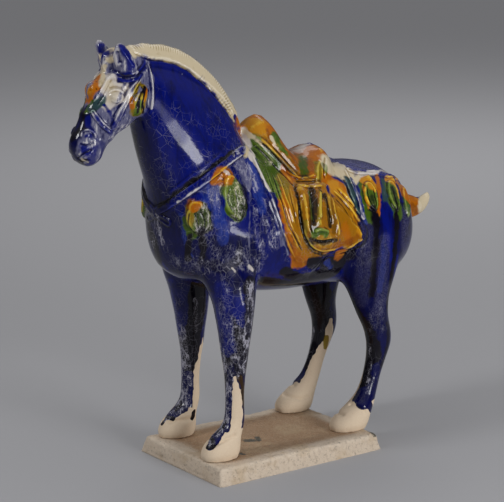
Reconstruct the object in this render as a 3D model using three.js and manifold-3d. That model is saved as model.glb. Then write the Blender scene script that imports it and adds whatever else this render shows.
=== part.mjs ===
// A glazed earthenware horse, saddled and harnessed, standing four-square on a plain clay slab.
// Millimetres, +Z up. The horse looks along -Y and its left side is +X.
// The origin is the centre of the slab's underside.
import * as THREE from "three";
import { mergeVertices } from "three/addons/utils/BufferGeometryUtils.js";
import Module from "manifold-3d";

const wasm = await Module();
wasm.setup();

// Driving dimensions
const slab = { length: 170, width: 120, thickness: 14, batter: 3.6, cornerRadius: 3, edgeRound: 1.2 };
const horse = { height: 340, offsetX: -6 };

// The figure's tables are drawn for a horse 340 mm tall, from the soles to the ear tips.
// Y is negative towards the head, and Z is measured from the soles.
const grow = horse.height / 340;

// Blends the rows of a table smoothly: s is a row number, and may fall between two rows
function along(rows, s) {
  const i = Math.min(Math.max(Math.floor(s), 0), rows.length - 2);
  const t = s - i;
  const [p0, p1, p2, p3] = [-1, 0, 1, 2].map((k) => rows[Math.min(Math.max(i + k, 0), rows.length - 1)]);
  return p1.map((b, k) => {
    const [a, c, d] = [p0[k], p2[k], p3[k]];
    const bend = (2 * a - 5 * b + 4 * c - d) * t * t + (3 * (b - c) + d - a) * t * t * t;
    return b + 0.5 * ((c - a) * t + bend);
  });
}

// Trunk and neck in one skin, from the buttocks to the poll: the outline's upper and lower points,
// half the width, and how much narrower the section is above than below
const trunkRows = [
  // topY, topZ, bottomY, bottomZ, half, egg
  [147, 184, 147, 160, 13, 0],
  [142.5, 203.5, 143, 138, 34, 0.05],
  [128, 219, 130, 123, 45, 0.08],
  [104, 227, 106, 119, 49, 0.08],
  [78, 229.5, 80, 122, 49, 0.06],
  [45, 228, 46, 123, 49, 0.04],
  [10, 232, 10, 124, 49, 0.06],
  [-14, 246, -26, 129, 48, 0.12],
  [-24, 262, -56, 137, 46, 0.2],
  [-31, 276, -87, 149, 42, 0.28],
  [-40, 288, -98.5, 169, 38, 0.3],
  [-52, 300, -99.5, 195, 33, 0.3],
  [-66, 310, -104, 220, 27, 0.28],
  [-85, 319, -112, 243, 22, 0.25],
  [-104, 323, -118, 266, 18, 0.2],
  [-122, 325, -123, 286, 14, 0.1],
];

// Head, from the back of the skull to the lips: face line, jaw line, half the width, and egg
const headRows = [
  [-113, 326, -108, 292, 12, 0],
  [-131, 328, -117, 283.5, 17, 0.1],
  [-146, 321, -124, 277, 18.5, 0.1],
  [-156, 311, -131, 272, 18, 0.05],
  [-162, 298, -141, 267, 15, 0.05],
  [-168, 287, -146.5, 261, 12.5, 0.1],
  [-173, 277, -150.5, 255.5, 11.5, 0.1],
  [-178, 268, -152, 251, 12.5, 0],
  [-177.5, 258, -158, 246.5, 11, -0.1],
  [-172, 250, -165, 245.5, 6, 0],
];

// Legs, from the top inside the trunk to the sole: height, Y, X, half depth, half width
const foreRows = [
  [196, -46, 20, 34, 16],
  [172, -49, 24, 34, 20],
  [150, -49, 29, 27, 19],
  [128, -47, 33, 19, 16.5],
  [104, -46, 35, 15, 13.5],
  [90, -46.5, 36, 12.6, 12],
  [80, -46, 36, 11.2, 11],
  [66, -46.5, 36.5, 9, 9.2],
  [46, -47, 37, 8.2, 8.4],
  [32, -47, 37, 9, 8.8],
  [24, -50, 37.5, 10.5, 9.6],
  [17, -57, 37, 14, 11.8],
  [8, -61, 36.8, 18.2, 13.8],
  [0, -62, 36.5, 18, 14],
];
const hindRows = [
  [205, 97, 20, 44, 18],
  [178, 99, 24, 45, 24],
  [152, 97, 28, 38, 22],
  [130, 95, 31, 28, 18],
  [112, 95, 33, 18.5, 15],
  [96, 97.5, 34, 14.5, 12.5],
  [82, 102.5, 35, 13, 11],
  [70, 103.5, 35.5, 12, 10],
  [58, 100, 36, 9.6, 8.8],
  [44, 95, 36.5, 8.6, 8],
  [30, 89.5, 37, 9.4, 8.8],
  [20, 82, 37.5, 13, 11.5],
  [9, 71, 36.8, 19.2, 13.8],
  [0, 69, 36.5, 19.5, 14],
];

const point = (x, y, z) => new THREE.Vector3(x, y, z).multiplyScalar(grow);

// A point on a skin whose rows give upper and lower outline, width and egg; angle 0 is the left side
function skinPoint(rows, s, angle) {
  const [topY, topZ, bottomY, bottomZ, half, egg] = along(rows, s);
  const [c, v] = [Math.cos(angle), Math.sin(angle)];
  return point(
    half * c * (1 - egg * v),
    (topY + bottomY) / 2 + ((topY - bottomY) / 2) * v,
    (topZ + bottomZ) / 2 + ((topZ - bottomZ) / 2) * v,
  );
}

// The four feet aren't quite level with one another: each leg leans from the body to its own hoof
const stance = { foreLeft: -3, foreRight: 3.5, hindLeft: 1, hindRight: -2.5 };

function limbPoint(rows, side, lean, s, angle) {
  const [z, y, x, deep, wide] = along(rows, s);
  const shift = lean * THREE.MathUtils.smoothstep(150 - z, 0, 70);
  return point(side * (x + wide * Math.cos(angle)), y + shift + deep * Math.sin(angle), z);
}

// A closed geometry through rings of points, with a fan on each end
function loft(rings) {
  const around = rings[0].length;
  const points = rings.flat();
  const faces = [];
  for (let r = 0; r + 1 < rings.length; r++)
    for (let i = 0; i < around; i++) {
      const j = (i + 1) % around;
      const [a, b, c, d] = [r * around + i, r * around + j, (r + 1) * around + i, (r + 1) * around + j];
      faces.push(a, b, d, a, d, c);
    }
  for (const [ring, flip] of [[0, true], [rings.length - 1, false]]) {
    const centre = rings[ring].reduce((sum, p) => sum.add(p), new THREE.Vector3()).divideScalar(around);
    const hub = points.push(centre) - 1;
    for (let i = 0; i < around; i++) {
      const [a, b] = [ring * around + i, ring * around + ((i + 1) % around)];
      faces.push(hub, flip ? b : a, flip ? a : b);
    }
  }
  return new THREE.BufferGeometry().setFromPoints(points).setIndex(faces);
}

// Six times the signed volume: negative where the faces point inwards
function signedVolume(points, faces) {
  const corner = (i) => new THREE.Vector3().fromArray(points, 3 * faces[i]);
  let sum = 0;
  for (let i = 0; i < faces.length; i += 3) sum += corner(i).dot(corner(i + 1).cross(corner(i + 2)));
  return sum;
}

function solidOf(geometry) {
  const plain = geometry.clone();
  plain.deleteAttribute("normal");
  plain.deleteAttribute("uv");
  const merged = mergeVertices(plain, 1e-4);
  const vertProperties = merged.attributes.position.array;
  const faces = new Uint32Array(merged.index.array);
  const outward = signedVolume(vertProperties, faces) > 0;
  const triVerts = outward ? faces : faces.map((_, i) => faces[i - (i % 3) + 2 - (i % 3)]);
  return new wasm.Manifold(new wasm.Mesh({ numProp: 3, vertProperties, triVerts }));
}

function geometryOf(solid) {
  const mesh = solid.getMesh();
  return new THREE.BufferGeometry()
    .setAttribute("position", new THREE.BufferAttribute(mesh.vertProperties, 3))
    .setIndex(new THREE.BufferAttribute(mesh.triVerts, 1));
}

const turn = (count) => Array.from({ length: count }, (_, i) => (2 * Math.PI * i) / count);
const steps = (count, last) => Array.from({ length: count }, (_, i) => (last * i) / (count - 1));

function skin(rows, rings, around) {
  return loft(steps(rings, rows.length - 1).map((s) => turn(around).map((a) => skinPoint(rows, s, a))));
}

function limb(rows, side, lean, rings, around) {
  const stations = steps(rings, rows.length - 1);
  return loft(stations.map((s) => turn(around).map((a) => limbPoint(rows, side, lean, s, a))));
}

// Dressing on a skin. A spot is [row, degrees]: 90 is the top line, 0 the flank and -90 the underline.
const blend = (spots, t) => along(spots, t * (spots.length - 1));

function frameAt(rows, [s, degrees]) {
  const a = THREE.MathUtils.degToRad(degrees);
  const at = skinPoint(rows, s, a);
  const alongRow = skinPoint(rows, s + 0.05, a).sub(skinPoint(rows, s - 0.05, a));
  const aroundRow = skinPoint(rows, s, a + 0.03).sub(skinPoint(rows, s, a - 0.03));
  return { at, out: aroundRow.cross(alongRow).normalize() };
}

function lifted(rows, spot, lift) {
  const { at, out } = frameAt(rows, spot);
  return at.addScaledVector(out, lift * grow);
}

const bothSides = (geometry) => [geometry, geometry.clone().scale(-1, 1, 1)];

// A closed sheet of clay with its inner face buried in the skin: place(u, v, lift) gives a point,
// and height(u, v) how far the outer face stands proud
function quilt(across, down, place, height, depth = 1.6) {
  const [us, vs] = [steps(across, 1), steps(down, 1)];
  const layer = (lift) => vs.flatMap((v) => us.map((u) => place(u, v, lift(u, v))));
  const points = [...layer(height), ...layer(() => -depth)];
  const under = across * down;
  const spot = (i, j, low) => j * across + i + (low ? under : 0);
  const faces = [];
  for (let j = 0; j + 1 < down; j++)
    for (let i = 0; i + 1 < across; i++)
      for (const low of [false, true]) {
        const [a, b, c, d] = [spot(i, j, low), spot(i + 1, j, low), spot(i, j + 1, low), spot(i + 1, j + 1, low)];
        faces.push(...(low ? [a, b, d, a, d, c] : [a, d, b, a, c, d]));
      }
  const rim = [
    ...us.slice(0, -1).map((_, i) => [i, 0]),
    ...vs.slice(0, -1).map((_, j) => [across - 1, j]),
    ...us.slice(0, -1).map((_, i) => [across - 1 - i, down - 1]),
    ...vs.slice(0, -1).map((_, j) => [0, down - 1 - j]),
  ];
  rim.forEach(([i, j], k) => {
    const [i2, j2] = rim[(k + 1) % rim.length];
    const [a, b, c, d] = [spot(i, j), spot(i2, j2), spot(i, j, true), spot(i2, j2, true)];
    faces.push(a, b, d, a, d, c);
  });
  return new THREE.BufferGeometry().setFromPoints(points).setIndex(faces);
}

// A strap laid along a path of points with their outward directions
function strap(path, width, proud) {
  const rings = path.map(({ at, out }, k) => {
    const ahead = path[Math.min(k + 1, path.length - 1)].at;
    const behind = path[Math.max(k - 1, 0)].at;
    const side = new THREE.Vector3().crossVectors(out, ahead.clone().sub(behind)).normalize();
    return [[-0.5, -1.2], [0.5, -1.2], [0.5, 0.55 * proud], [0.25, proud], [-0.25, proud], [-0.5, 0.55 * proud]].map(
      ([x, y]) => at.clone().addScaledVector(side, x * width * grow).addScaledVector(out, y * grow),
    );
  });
  return loft(rings);
}

function pathOn(rows, spots, count) {
  return steps(count, 1).map((t) => frameAt(rows, blend(spots, t)));
}

// A boss or an eyeball: a ball pressed flat along the skin's outward direction
function stud(rows, spot, size, lift = 0, around = 7) {
  const { at, out } = frameAt(rows, spot);
  const ball = new THREE.SphereGeometry(1, around, 4).rotateX(Math.PI / 2).scale(...size.map((r) => r * grow));
  const towards = new THREE.Quaternion().setFromUnitVectors(new THREE.Vector3(0, 0, 1), out);
  return ball.applyQuaternion(towards).translate(...at.addScaledVector(out, lift * grow));
}

// A ribbed leaf pendant from its top spot to its tip
function leaf(rows, from, to, width, proud) {
  const [p, q] = [frameAt(rows, from), frameAt(rows, to)];
  const down = q.at.clone().sub(p.at);
  const place = (u, v, lift) => {
    const mid = frameAt(rows, blend([from, to], v));
    const side = new THREE.Vector3().crossVectors(mid.out, down).normalize();
    const reach = (u - 0.5) * width * grow * (0.12 + 0.88 * Math.sin(Math.PI * (0.12 + 0.84 * v)) ** 0.8);
    const fall = Math.abs(u - 0.5) * reach * 0.06;
    return mid.at.addScaledVector(side, reach).addScaledVector(mid.out, lift * grow - Math.abs(fall));
  };
  const height = (u, v) => proud * (0.35 + 0.65 * Math.sin(Math.PI * u)) * (0.6 + 0.4 * Math.sin(Math.PI * v));
  return quilt(4, 4, place, height, 2.2);
}

// Saddle: Y, top Z, base Z and half width of each cross arch from pommel to cantle
const saddleRows = [
  [-18, 258, 240, 10],
  [-15, 266, 238, 16],
  [-10, 272, 236, 19],
  [-2, 275, 233, 21],
  [6, 272, 229, 23],
  [13, 262, 224, 26],
  [20, 250, 218, 30],
  [28, 242.5, 213, 33.5],
  [37, 240.5, 211.5, 35.5],
  [46, 243, 213, 34.5],
  [54, 246, 217, 30],
  [61, 243.5, 221, 25],
  [67, 235, 223, 18],
  [69, 228, 222, 10],
];

function buildSaddle() {
  const [rings, around] = [15, 12];
  const ribs = [
    { top: [-3, 266], foot: [23, 216], width: 7 },
    { top: [56, 241], foot: [46, 213], width: 5 },
  ];
  return loft(
    steps(rings, saddleRows.length - 1).map((s) => {
      const [y, top, base, half] = along(saddleRows, s);
      return turn(around).map((a) => {
        const [c, v] = [Math.cos(a), Math.sin(a)];
        const z = v > 0 ? base + (top - base) * v : base + 8 * v;
        const swell = ribs.map(({ top: from, foot, width }) => {
          const t = (z - foot[1]) / (from[1] - foot[1]);
          const off = y - (foot[0] + t * (from[0] - foot[0]));
          return v > 0 ? 2.6 * Math.exp(-((off / width) ** 2)) * THREE.MathUtils.smoothstep(t, -0.3, 0.4) : 0;
        });
        return point(half * c * (1 + (swell[0] + swell[1]) / Math.max(half, 12)), y, z);
      });
    }),
  );
}

// Saddle cloth over the back, from the tip of its left front corner to the right one: spots down the
// left edge of its front and of its rear, from the spine to the hem
const clothFront = [[7.7, 90], [7.75, 66], [7.55, 48], [7.3, 33], [7.05, 21], [6.75, 6], [6.42, -9], [6.15, -22], [5.72, -36]];
const clothRear = [[4.0, 90], [4.05, 70], [4.15, 54], [4.3, 38], [4.3, 22], [4.6, 6], [5.0, -12], [5.45, -27], [5.6, -37]];

function buildCloth() {
  const place = (u, v, lift) => {
    const t = 2 * v - 1;
    const [front, rear] = [blend(clothFront, Math.abs(t)), blend(clothRear, Math.abs(t))];
    const spot = [front[0] + (rear[0] - front[0]) * u, front[1] + (rear[1] - front[1]) * u];
    const at = lifted(trunkRows, spot, lift);
    return t > 0 ? at : at.multiply(new THREE.Vector3(-1, 1, 1));
  };
  const height = (u) => 2.4 - 0.5 * Math.cos(u * Math.PI * 8);
  return quilt(8, 13, place, height, 2.5);
}

// Cover flap that hangs from the tied waist of the saddle: Y and Z down its front and rear edges
const flapEdges = [
  [12.5, 212, 40, 210],
  [10, 203.5, 41.5, 204],
  [9.2, 194, 51.5, 193.5],
  [9.4, 184, 60, 186],
  [10.8, 177, 68, 177.5],
  [13, 171, 71, 171.5],
  [17.5, 166.5, 68, 166],
  [25, 164, 60, 163],
];
const panelEdges = [
  [16, 212.3, 37, 210.5],
  [15.2, 205, 38.5, 203],
  [14.4, 196, 40.3, 195.5],
  [14.2, 186, 42, 186],
  [14.4, 178.5, 43.6, 178],
  [16, 172.5, 44.2, 172.3],
  [20.5, 168.7, 41, 168.3],
  [26, 167.5, 34, 167.3],
];

// The barrel's skin spot that is seen from the side at y, z
function besideAt(y, z) {
  let [low, high] = [0, trunkRows.length - 1];
  for (let k = 0; k < 40; k++) {
    const [topY, topZ, bottomY, bottomZ] = along(trunkRows, (low + high) / 2);
    const past = (topY - bottomY) * (z - bottomZ) - (topZ - bottomZ) * (y - bottomY);
    if (past < 0) high = (low + high) / 2;
    else low = (low + high) / 2;
  }
  const [, topZ, , bottomZ] = along(trunkRows, low);
  const v = (z - (topZ + bottomZ) / 2) / ((topZ - bottomZ) / 2);
  return [low, THREE.MathUtils.radToDeg(Math.asin(THREE.MathUtils.clamp(v, -1, 1)))];
}

function hangingFlap(edges, across, down, height, depth) {
  const place = (u, v, lift) => {
    const [y0, z0, y1, z1] = along(edges, v * (edges.length - 1));
    return lifted(trunkRows, besideAt(y0 + (y1 - y0) * u, z0 + (z1 - z0) * u), lift);
  };
  return quilt(across, down, place, height, depth);
}

const edgeRise = (u, v) => Math.exp(-((Math.min(u, 1 - u, 1.2 * (1 - v)) / 0.08) ** 2));

function buildFlaps() {
  const flap = hangingFlap(flapEdges, 7, 7, (u, v) => 4 + 1.3 * edgeRise(u, v) + 2.4 * (1 - v) ** 3, 2);
  const panel = hangingFlap(panelEdges, 6, 6, (u, v) => 5.4 + 1.6 * edgeRise(u, v) + 1.6 * (1 - v) ** 2, 1);
  const waist = strap(
    steps(6, 1).map((t) => {
      const [y, z] = [10.5 + 31 * t, 212.8 - 0.8 * t];
      const spot = frameAt(trunkRows, besideAt(y, z));
      return { at: spot.at.addScaledVector(spot.out, 5 * grow), out: spot.out };
    }),
    5,
    3.4,
  );
  const iron = [[27.3, 212, 32.5, 212], [25.2, 200, 28.8, 200], [18.7, 188.5, 27, 188], [16.5, 182, 31, 181], [15.4, 176, 35.9, 175]];
  const stirrup = hangingFlap(iron, 4, 5, (u) => 7.4 + 1.8 * Math.sin(Math.PI * u), 0);
  return [flap, panel, waist, stirrup].flatMap(bothSides);
}

// Breast strap and crupper with their bosses and leaves
const breastPath = [[8.35, 50], [9.19, 29], [9.94, 12], [10.59, -8], [11.06, -28], [11.34, -48], [11.4, -70], [11.3, -90]];
const crupperPath = [[4.0, 68], [3.66, 62], [3.28, 57], [2.53, 57], [1.88, 58], [1.3, 62], [0.75, 75]];
const hungLeaves = [
  { boss: [9.5, 13], tip: [8.62, -8], width: 24, size: 4.6 },
  { boss: [10.62, -24], tip: [9.72, -36], width: 20, size: 3.6 },
  { boss: [3.4, 48], tip: [3.75, 8], width: 16, size: 3.8 },
  { boss: [2.25, 50], tip: [2.75, 10], width: 15, size: 3.4 },
  { boss: [1.45, 46], tip: [2.0, 6], width: 12, size: 3 },
];

function buildHarness() {
  const breast = strap(pathOn(trunkRows, breastPath, 11), 6.5, 2.2);
  const crupper = strap(pathOn(trunkRows, crupperPath, 8), 4.5, 1.6);
  const hung = hungLeaves.flatMap(({ boss, tip, width, size }) => [
    leaf(trunkRows, boss, tip, width, 2.2),
    stud(trunkRows, boss, [size, size, size * 0.75], 1.2, 6),
  ]);
  return [breast, crupper, ...hung].flatMap(bothSides);
}

function buildBridle() {
  const ring = (spots, count, width, proud) => strap(pathOn(headRows, spots, count), width, proud);
  return [
    ring([[2.15, 58], [1.8, 34], [1.46, 20], [0.9, 16], [0.39, 30], [0.2, 48]], 8, 4.2, 2.2),
    ring([[1.2, 15], [2.08, 4], [3.09, -4], [3.99, -22]], 5, 4, 1.7),
    ring([[4.95, 90], [4.72, 44], [4.67, 14], [4.56, -20], [4.4, -60], [4.35, -90]], 8, 3.6, 1.5),
    leaf(headRows, [1.1, 0], [1.5, -60], 22, 3),
    stud(headRows, [2.85, 20], [5.2, 5.2, 4.2], 0.6),
    stud(headRows, [6.08, 34], [4.4, 3.6, 2.6], 0.4, 6),
  ]
    .flatMap(bothSides)
    .concat(stud(headRows, [3.4, 90], [8.5, 8, 3.6], 0.4));
}

// Roached mane, from the forelock to the withers: the same columns as the trunk's
const maneRows = [
  [-149, 320, -142, 316, 4, 0],
  [-149, 333, -136, 318, 7, 0],
  [-140, 337.5, -126, 315, 9, 0.1],
  [-122, 337.4, -112, 312, 9, 0.15],
  [-104, 338.8, -100, 311, 7.5, 0.2],
  [-88, 336.5, -92, 308, 8, 0.2],
  [-68, 328.5, -76, 301, 8.5, 0.2],
  [-53.5, 317, -66, 292, 8.5, 0.2],
  [-38.5, 302, -54, 283, 8, 0.2],
  [-26.5, 286.5, -40, 271, 7.5, 0.2],
  [-20, 274, -30, 262, 6, 0.1],
  [-17, 264, -22, 256, 3, 0],
];

// Docked tail: Y, Z and radius from the root to the tip
const tailRows = [[138, 190, 13], [150, 184, 12.5], [162, 179, 12], [172, 177.5, 10.5], [179, 178, 8.2], [184.5, 181, 6.2], [189, 186, 4], [190.5, 189, 1.8]];

function buildTail() {
  const rings = steps(8, tailRows.length - 1).map((s) => {
    const [y, z, r] = along(tailRows, s);
    const [y1, z1] = along(tailRows, s + 0.05);
    const lean = new THREE.Vector2(y1 - y, z1 - z).normalize();
    return turn(8).map((a) => {
      const up = r * Math.sin(a);
      return point(0.85 * r * Math.cos(a), y - lean.y * up, z + lean.x * up);
    });
  });
  return loft(rings);
}

// Cupped, leaf-shaped ears: height up the ear, half width and how far the front face is hollowed
const earRows = [[0, 8, 0], [0.25, 9.2, 0.5], [0.5, 8.2, 0.9], [0.75, 5.4, 0.9], [0.92, 2.4, 0.8], [1, 0.6, 0.5]];

function buildEar() {
  const foot = point(12, -133, 316);
  const tip = point(14.5, -142, 340);
  const upward = tip.clone().sub(foot);
  const facing = new THREE.Vector3(0.75, -0.66, 0);
  const sideways = new THREE.Vector3().crossVectors(facing, upward).normalize();
  const rings = steps(6, earRows.length - 1).map((s) => {
    const [t, half, hollow] = along(earRows, s);
    return turn(8).map((a) => {
      const [c, v] = [Math.cos(a), Math.sin(a)];
      const deep = v > 0 ? v * (1 - 1.5 * hollow) : v;
      return foot
        .clone()
        .addScaledVector(upward, t)
        .addScaledVector(sideways, half * c * grow)
        .addScaledVector(facing, 0.65 * half * deep * grow);
    });
  });
  return loft(rings);
}

function buildHorse() {
  const parts = [
    skin(trunkRows, 27, 20),
    skin(headRows, 16, 12),
    skin(maneRows, 13, 8),
    limb(foreRows, 1, stance.foreLeft, 14, 10),
    limb(foreRows, -1, stance.foreRight, 14, 10),
    limb(hindRows, 1, stance.hindLeft, 14, 10),
    limb(hindRows, -1, stance.hindRight, 14, 10),
    buildTail(),
    ...bothSides(buildEar()),
    buildCloth(),
    buildSaddle(),
    ...buildFlaps(),
    ...buildHarness(),
    ...buildBridle(),
  ];
  return parts.map(solidOf).reduce((whole, part) => whole.add(part));
}

// A rounded rectangle in the plane of height z
function slabRing(inset, z) {
  const [a, b] = [slab.width / 2 - inset, slab.length / 2 - inset];
  const r = slab.cornerRadius;
  const ring = [];
  for (const [sx, sy, start] of [[1, 1, 0], [-1, 1, 1], [-1, -1, 2], [1, -1, 3]])
    for (let k = 0; k <= 3; k++) {
      const t = ((start + k / 3) * Math.PI) / 2;
      ring.push(new THREE.Vector3(sx * (a - r) + r * Math.cos(t), sy * (b - r) + r * Math.sin(t), z));
    }
  return ring;
}

function buildSlab() {
  const shoulder = slab.thickness - slab.edgeRound;
  return solidOf(
    loft([
      slabRing(0, 0),
      slabRing(slab.batter * (shoulder / slab.thickness), shoulder),
      slabRing(slab.batter + slab.edgeRound, slab.thickness),
    ]),
  );
}

const clay = new THREE.MeshStandardMaterial({ color: 0xcdb694, roughness: 0.9, metalness: 0 });
const blueGlaze = new THREE.MeshStandardMaterial({ color: 0x1a1f86, roughness: 0.15, metalness: 0 });

function named(name, solid, material) {
  const mesh = new THREE.Mesh(geometryOf(solid), material);
  mesh.name = name;
  return mesh;
}

const whole = new THREE.Group();
const horseMesh = named("horse", buildHorse(), blueGlaze);
horseMesh.position.set(horse.offsetX, 0, slab.thickness);
whole.add(horseMesh, named("slab", buildSlab(), clay));

export default whole;
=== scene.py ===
import math

import bmesh
import bpy
import numpy as np
from mathutils import Matrix, Vector, noise
from mathutils.bvhtree import BVHTree


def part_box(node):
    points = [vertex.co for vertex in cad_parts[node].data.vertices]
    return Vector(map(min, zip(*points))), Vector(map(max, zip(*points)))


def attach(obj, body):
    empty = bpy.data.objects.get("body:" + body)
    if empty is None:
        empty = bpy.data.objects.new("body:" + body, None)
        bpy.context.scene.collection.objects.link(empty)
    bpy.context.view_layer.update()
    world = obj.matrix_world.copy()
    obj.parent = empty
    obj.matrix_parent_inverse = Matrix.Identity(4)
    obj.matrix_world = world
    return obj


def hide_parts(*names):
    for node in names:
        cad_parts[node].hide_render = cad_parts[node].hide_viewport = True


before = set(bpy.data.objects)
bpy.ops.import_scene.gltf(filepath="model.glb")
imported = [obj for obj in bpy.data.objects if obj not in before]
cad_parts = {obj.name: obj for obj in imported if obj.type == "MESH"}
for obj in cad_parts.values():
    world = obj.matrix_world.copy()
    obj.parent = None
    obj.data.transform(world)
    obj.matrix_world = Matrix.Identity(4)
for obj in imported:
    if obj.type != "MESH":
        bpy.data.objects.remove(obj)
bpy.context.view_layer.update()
print("frame loaded")

# The figure's own measures: millimetres of a horse 340 mm tall, x from its middle plane,
# y as the frame's with the head at -y, z from the soles
horseLow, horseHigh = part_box("horse")
slabLow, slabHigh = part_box("slab")
figureUnit = (horseHigh.z - slabHigh.z) / 340
figureOrigin = np.array(((horseLow.x + horseHigh.x) / 2, 0, slabHigh.z))

# The photograph is 504 x 502 pixels, and paint and relief are laid by its pixels
photo = {"width": 504, "centreX": 252, "centreY": 251, "focal": 1805}
view = {"azimuth": 53.7, "elevation": 11.9, "distance": 1.5, "target": (0, -0.0097, 0.1747)}


def cameraAxes():
    azimuth, elevation = math.radians(view["azimuth"]), math.radians(view["elevation"])
    level = math.cos(elevation)
    back = Vector((math.sin(azimuth) * level, -math.cos(azimuth) * level, math.sin(elevation)))
    right = Vector((math.cos(azimuth), math.sin(azimuth), 0))
    return right, back.cross(right), back


cameraRight, cameraUp, cameraBack = cameraAxes()
cameraPlace = Vector(view["target"]) + cameraBack * view["distance"]


def makeCamera():
    data = bpy.data.cameras.new("photoCamera")
    data.sensor_width = 36
    data.lens = 36 * photo["focal"] / photo["width"]
    data.clip_end = 20
    camera = bpy.data.objects.new("photoCamera", data)
    bpy.context.scene.collection.objects.link(camera)
    camera.location = cameraPlace
    camera.rotation_euler = cameraBack.to_track_quat("Z", "Y").to_euler()
    bpy.context.scene.camera = camera


makeCamera()
print("camera placed")


def toFigure(places):
    return (np.asarray(places, float) - figureOrigin) / figureUnit


def toFrame(places):
    return np.asarray(places, float) * figureUnit + figureOrigin


def newPiece(name, mesh):
    piece = bpy.data.objects.new(name, mesh)
    bpy.context.scene.collection.objects.link(piece)
    return piece


def readPlaces(mesh):
    flat = np.empty(len(mesh.vertices) * 3, np.float32)
    mesh.vertices.foreach_get("co", flat)
    return toFigure(flat.reshape(-1, 3))


def writePlaces(mesh, places):
    mesh.vertices.foreach_set("co", toFrame(places).astype(np.float32).ravel())
    mesh.update()


def readNormals(mesh):
    flat = np.empty(len(mesh.vertices) * 3, np.float32)
    mesh.vertex_normals.foreach_get("vector", flat)
    return flat.reshape(-1, 3).astype(float)


def readLinks(mesh):
    flat = np.empty(len(mesh.edges) * 2, np.int32)
    mesh.edges.foreach_get("vertices", flat)
    return flat.reshape(-1, 2)


def modified(piece, kind, **settings):
    # one modifier, applied at once
    modifier = piece.modifiers.new("work", kind)
    for name, value in settings.items():
        setattr(modifier, name, value)
    evaluated = piece.evaluated_get(bpy.context.evaluated_depsgraph_get())
    mesh = bpy.data.meshes.new_from_object(evaluated)
    old = piece.data
    piece.modifiers.clear()
    piece.data = mesh
    bpy.data.meshes.remove(old)
    return piece


def solidCopy(node, name):
    # the CAD node's mesh is loose triangles, so its copy is merged first
    built = bmesh.new()
    built.from_mesh(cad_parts[node].data)
    bmesh.ops.remove_doubles(built, verts=built.verts, dist=1e-6)
    mesh = bpy.data.meshes.new(name)
    built.to_mesh(mesh)
    built.free()
    return newPiece(name, mesh)


def smoothStep(value, low, high):
    t = np.clip((value - low) / (high - low), 0, 1)
    return t * t * (3 - 2 * t)


def evened(places, links, pull, rounds):
    # each round moves every vertex half way to the weighted mean of its neighbours
    first, second = links[:, 0], links[:, 1]
    count = len(places)
    total = np.bincount(first, pull, count) + np.bincount(second, pull, count)
    total = np.maximum(total, 1e-9)
    for _ in range(rounds):
        mean = np.empty_like(places)
        for axis in range(3):
            value = places[:, axis]
            gathered = np.bincount(first, pull * value[second], count)
            gathered += np.bincount(second, pull * value[first], count)
            mean[:, axis] = gathered / total
        places = 0.5 * places + 0.5 * mean
    return places


def toPath(places, path):
    # nearest distance to a line through spots, and how far along it that is, from 0 to 1
    path = np.asarray(path, float)
    lengths = np.linalg.norm(np.diff(path, axis=0), axis=1)
    before = np.concatenate([[0], np.cumsum(lengths)])
    best = np.full(len(places), 1e9)
    share = np.zeros(len(places))
    for k in range(len(path) - 1):
        leg = path[k + 1] - path[k]
        t = np.clip((places - path[k]) @ leg / max(leg @ leg, 1e-9), 0, 1)
        gap = np.linalg.norm(places - path[k] - t[:, None] * leg, axis=1)
        nearer = gap < best
        best[nearer] = gap[nearer]
        share[nearer] = ((before[k] + t * lengths[k]) / before[-1])[nearer]
    return best, share


def rounded(path, per=5):
    # a smooth line through the given spots
    path = np.asarray(path, float)
    if len(path) < 3:
        return path
    ends = np.vstack([path[:1], path, path[-1:]])
    spots = []
    for k in range(len(path) - 1):
        a, b, c, d = ends[k:k + 4]
        for t in np.arange(per) / per:
            bend = (2 * a - 5 * b + 4 * c - d) * t * t + (3 * (b - c) + d - a) * t ** 3
            spots.append(b + 0.5 * ((c - a) * t + bend))
    return np.vstack([spots, path[-1:]])


def mirrored(places):
    return np.column_stack([np.abs(places[:, 0]), places[:, 1:]])


# Horse skin
skinMake = {
    "voxel": 0.0016,        # metres; the skin is divided once more after it is evened
    "rounds": 70,
    "creaseKeeps": 0.11,    # a lower value keeps softer creases
    "lastRounds": 3,
    "earRounds": 5,
    "detailRounds": 4,
    "detailFrom": (0.3, 0.75),    # millimetres from the evened skin; what stands further off is carving
    # the middles of a shoulder and a thigh, top and foot, with their reach
    "limbTops": (((30, -49, 178), (33, -47, 95), 46), ((26, 99, 172), (32, 97, 90), 50)),
    # where zones fade in or out, in the figure's millimetres
    "legsUpTo": (-120, -105),
    "limbsUpTo": (190, 204),
    "blanketFront": (-22, 0.33),    # its place at a height of 250, and how it leans back
    "blanketBack": 76,
    "blanketHem": (146, 158),
    "headForward": (112, 120),
    "headUp": (230, 240),
    "earForward": (120, 125),
    "earUp": (312, 318),
    "earOut": (3, 5),
    "sole": 0.9,
}


# Ears are thicker than the solid's thin blades, so that the voxels keep them
earMake = {
    "foot": (12, -132, 310),
    "tip": (14.5, -142, 341),
    "facing": (0.6, -0.8, 0),
    # share of the height, half width, half thickness
    "rows": ((0, 7.6, 6.6), (0.3, 9.0, 7.0), (0.5, 8.8, 6.8), (0.72, 7.2, 5.8), (0.88, 4.8, 4.4),
             (1, 2.0, 2.0)),
    "sides": 12,
}


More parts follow.
